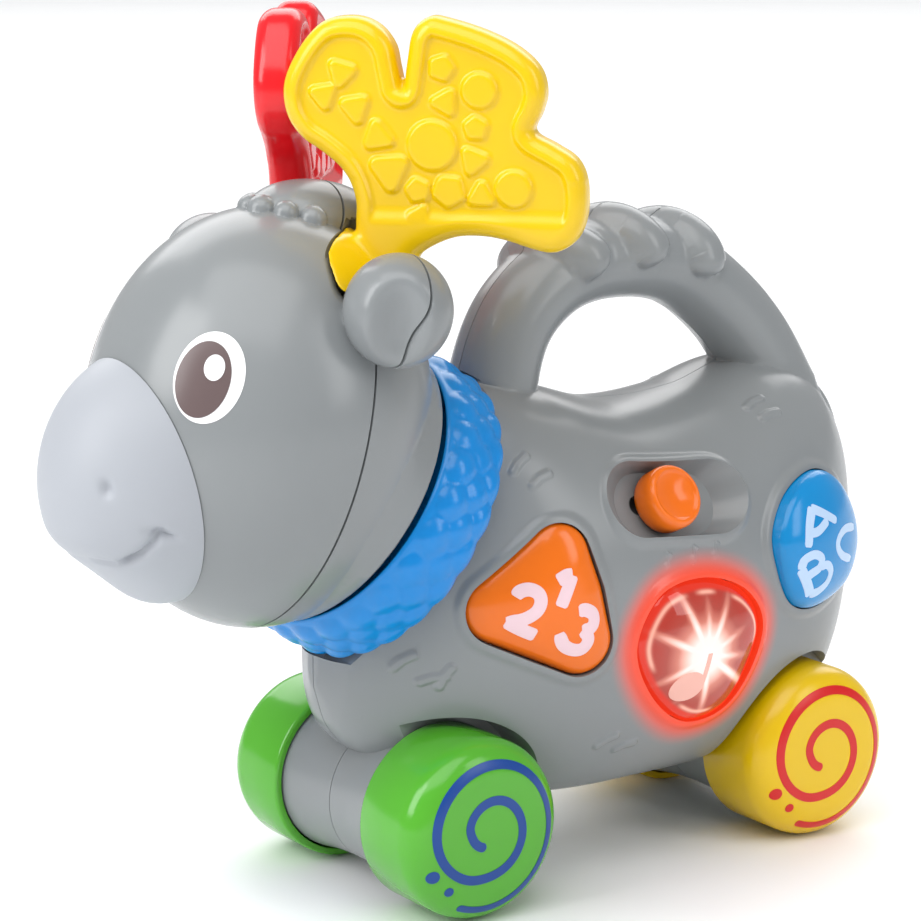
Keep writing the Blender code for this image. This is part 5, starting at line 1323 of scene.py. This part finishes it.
def lens_glow(flat):
    """Colour of the lit lens at points of its own plane."""
    way = flat - GLOW_AT
    turn = np.degrees(np.arctan2(way[:, 1], way[:, 0]))
    star = np.zeros(len(flat))
    # Painted glare: the hot core reaches further along a few rays.
    for degrees, strength in RAYS:
        off = (turn - degrees + 180) % 360 - 180
        star = np.maximum(star, strength * np.exp(-((off / 5.0) ** 2)))
    reach = np.hypot(*way.T) * 1000 / (1 + star)
    colour = np.column_stack([np.interp(reach, GLOW[:, 0], GLOW[:, k]) for k in (1, 2, 3)])
    edge = -distance_to(rounded(LAMP_TIPS, LAMP_ROUND, steps=44), flat)
    hot = np.exp(-((reach / 9.0) ** 2))[:, None]
    red = (1 - ease(edge, 0.0022, 0.0036))[:, None] * (1 - 0.7 * hot)
    colour = colour * (1 - red) + EDGE_GLOW * red
    # Painted reflections: pale arcs a few millimetres inside the lens edge.
    around = np.degrees(np.arctan2(flat[:, 1], flat[:, 0]))
    reflection_share = np.zeros(len(flat))
    for degrees, half in PAINTED_REFLECTION_ARCS:
        off = np.abs((around - degrees + 180) % 360 - 180)
        reflection_share = np.maximum(reflection_share, 1 - ease(off, half - 12, half))
    reflection_share = (reflection_share * np.exp(-(((edge - 0.0036) / 0.0006) ** 2)))[:, None]
    return colour * (1 - reflection_share) + PAINTED_REFLECTION * reflection_share


def lit_by(material, name, mix, strength):
    """Let an attribute of the mesh glow as emission; with a mix colour it is also mixed into the base colour, as
    painted light.
    """
    nodes = material.node_tree.nodes
    link = material.node_tree.links.new
    shader = nodes["Principled BSDF"]
    read = nodes.new("ShaderNodeAttribute")
    read.attribute_name = name
    if mix:
        blend = nodes.new("ShaderNodeMix")
        blend.data_type = "RGBA"
        link(read.outputs["Fac"], blend.inputs["Factor"])
        link(shader.inputs["Base Color"].links[0].from_socket, blend.inputs["A"])
        blend.inputs["B"].default_value = (*mix, 1.0)
        link(blend.outputs["Result"], shader.inputs["Base Color"])
        power = nodes.new("ShaderNodeMath")
        power.operation = "MULTIPLY"
        link(read.outputs["Fac"], power.inputs[0])
        power.inputs[1].default_value = strength
        link(power.outputs["Value"], shader.inputs["Emission Strength"])
        shader.inputs["Emission Color"].default_value = (1.0, 0.07, 0.015, 1.0)
    else:
        link(read.outputs["Color"], shader.inputs["Emission Color"])
        shader.inputs["Emission Strength"].default_value = strength
    return material


LENS = lit_by(finish("red_lens", linear(120, 12, 8), 0.07, cloud=0.03), "lit", None, 1.0)
# Painted light on the shell: red mixed into its colour and given off as emission, strongest at the lens.
PAINTED_HALO_RED = (0.70, 0.055, 0.022)
GREY_PAINTED_GLOW = lit_by(finish("grey_abs_lit", SHELL_GREY, SHELL_ROUGH, SHELL_CLOUD), "halo", PAINTED_HALO_RED, 0.30)
for key, made in BUTTON.items():
    material = CAPS[key][2] or LENS
    piece(made, "moose_%s_button" % key, material, key + "_key", [key + "_button"], 42)

# %% Lens glow, and painted glow on the shell
lens = BUTTON["lamp"]
near = local(points_of(lens), LAMP)
shade = np.column_stack([lens_glow(near[:, :2]), np.ones(len(near))])
shade[near[:, 2] < -0.004, :3] *= 0.25
lens.data.color_attributes.new("lit", "FLOAT_COLOR", "POINT").data.foreach_set("color", shade.ravel())
# Painted glow on the shell: full strength up to 0.4 mm from the lens outline, gone at about 10 mm.
near = local(points_of(body), LAMP)
halo = np.zeros(len(near))
close = (np.hypot(near[:, 0], near[:, 1]) < 0.05) & (np.abs(near[:, 2]) < 0.02)
halo[close] = 1 - ease(distance_to(rounded(LAMP_TIPS, LAMP_ROUND), near[close, :2]), 0.0004, 0.0098)
body.data.attributes.new("halo", "FLOAT", "POINT").data.foreach_set("value", halo)
body.data.materials.clear()
body.data.materials.append(GREY_PAINTED_GLOW)
print("lens points:", len(shade), "lit shell points:", int((halo > 0).sum()))

# %% [markdown]
# ## Numbers, letters and a note
# Plain figures and letters, drawn as a brush would: each stroke is a round strand along a few points on the
# button, stretched upright so that it becomes a stamp. The strokes of one sign are united and then printed.

# %% Brush signs
def brushed(strokes, radius, place):
    """The strokes of one sign, in millimetres on a button, as one upright stamp."""
    made = None
    for stroke in strokes:
        table = np.column_stack([np.arange(len(stroke)), np.array(stroke) / 1000])
        t = np.linspace(0, len(stroke) - 1, 40)
        path = np.column_stack([smooth(table, 1, t), smooth(table, 2, t), 0 * t])
        blunt = np.maximum(1 - np.abs(np.linspace(-1, 1, 40)) ** 24, 0.0) ** 0.5
        tube = strand(path, radius * np.maximum(blunt, 0.7))
        settle(tube, place @ Matrix.Translation((0.0, 0.0, 0.002)) @ Matrix.Diagonal((1.0, 1.0, 6.0, 1.0)))
        made = cut(made, tube, "UNION") if made else tube
    return made


FIGURES = {
    "1": (((6.0, 6.0), (8.6, 7.3), (10.6, 7.4)), ((10.6, 7.3), (6.7, -1.7))),
    "2": (
        ((-6.6, 2.1), (-5.4, 3.6), (-2.6, 4.1), (0.0, 2.8), (0.7, 0.2), (-0.8, -2.7), (-4.8, -4.7), (-9.6, -5.0)),
        ((-9.6, -5.0), (-5.1, -7.7), (-0.6, -9.9)),
    ),
    "3": (
        ((12.4, -3.5), (14.7, -3.4), (17.2, -5.0), (17.5, -7.4), (16.1, -9.1), (13.5, -9.4)),
        ((13.5, -9.4), (15.2, -10.8), (15.6, -13.1), (13.8, -15.2), (10.9, -15.2), (8.0, -13.4), (6.5, -9.7)),
    ),
}
LETTERS = {
    "A": (
        ((-17.6, 1.2), (-16.1, 7.4), (-13.2, 12.8)), ((-13.6, 12.6), (-9.0, 10.2), (-2.8, 6.8)),
        ((-16.6, 5.4), (-12.8, 5.4), (-7.6, 7.8)),
    ),
    "B": (
        ((-19.7, -5.3), (-14.2, -14.6)),
        ((-19.7, -5.5), (-18.7, -2.5), (-14.8, -1.5), (-11.6, -3.4), (-12.4, -6.0), (-15.2, -7.2), (-17.9, -8.4)),
        ((-12.4, -6.0), (-8.6, -5.9), (-6.2, -8.6), (-7.2, -11.9), (-10.7, -13.9), (-14.2, -14.3)),
    ),
    "C": (((10.3, 2.3), (3.0, 3.2), (-1.6, 1.6), (-2.9, -1.3), (0.1, -4.6), (7.0, -7.3)),),
}
NUMBER_BRUSH, LETTER_BRUSH = 0.0020, 0.0016
for sign, strokes in FIGURES.items():
    stamp = brushed(strokes, NUMBER_BRUSH, CONTROLS["number"][0])
    film(BUTTON["number"], stamp, "print_number_" + sign, PRINT_PINK, "number_key")
for sign, strokes in LETTERS.items():
    stamp = brushed(strokes, LETTER_BRUSH, CONTROLS["letter"][0])
    film(BUTTON["letter"], stamp, "print_letter_" + sign, PRINT_ICE, "letter_key")
note = prism(oval(0.0058, 0.0046, 0.35, -0.0076, -0.0088), -0.01, 0.02, LAMP)
STEM = [(-0.0034, -0.0080), (-0.0018, -0.0080), (0.0002, 0.0010), (-0.0014, 0.0010)]
cut(note, prism(STEM, -0.01, 0.02, LAMP), "UNION")
film(BUTTON["lamp"], note, "print_note", PRINT_NOTE, "lamp_key")

# %% [markdown]
# ## The slider knob
# A round knob with a dished top that slides in the oval dish. It is turned from a profile.

# %% Slider knob
KNOB_R = 0.0098
floor_at = -DISH_DEEP + 0.0006
bend = np.linspace(0, 1, 15)
KNOB_STEM, STEM_DEEP, KNOB_TURN = 0.0022, 0.0042, 2.2
profile = [(0.0, floor_at - STEM_DEEP), (KNOB_STEM, floor_at - STEM_DEEP), (KNOB_STEM, floor_at)]
profile += [(KNOB_R * 0.88, floor_at), (KNOB_R * 0.96, floor_at + 0.0008)]
profile += [(KNOB_R, floor_at + 0.0022), (KNOB_R, floor_at + 0.0060)]
for b in bend * KNOB_TURN:
    profile.append((KNOB_R * (0.84 + 0.16 * math.cos(b)), floor_at + 0.0066 + 0.0030 * math.sin(b)))
rim_at, rim_high = profile[-1]
profile += [(rim_at * (1 - b), rim_high - 0.0019 * math.sin(b * math.pi / 2)) for b in bend[1:]]
knob = turned(profile, DISH @ Matrix.Translation((-0.0030, 0.0, 0.0)), 96)
piece(knob, "moose_slider_knob", ORANGE, "volume_knob", ["volume_slider"], 45)

# %% [markdown]
# ## Finishes for the carried-over pieces
# Axles, screws, boards and cells keep their modelled shape and only get a better finish, by the slot that
# the record names for them.

# %% Carried-over nodes
MOULDED = (GREY, PALE, BLUE, ORANGE, SKY, YELLOW, RED, GREEN, LENS)
INNER = (STEEL, DARK, BOARD, CELL, NYLON, RUBBER, EPOXY, PAPER)
BY_SLOT = {m.name: m for m in MOULDED + INNER}
for node in frame["nodes"].values():
    for entry in node.material_slots:
        key = entry.material.name.split(".")[0] if entry.material else ""
        entry.material = BY_SLOT.get(key, GREY)
print("finishes by slot:", len(BY_SLOT))
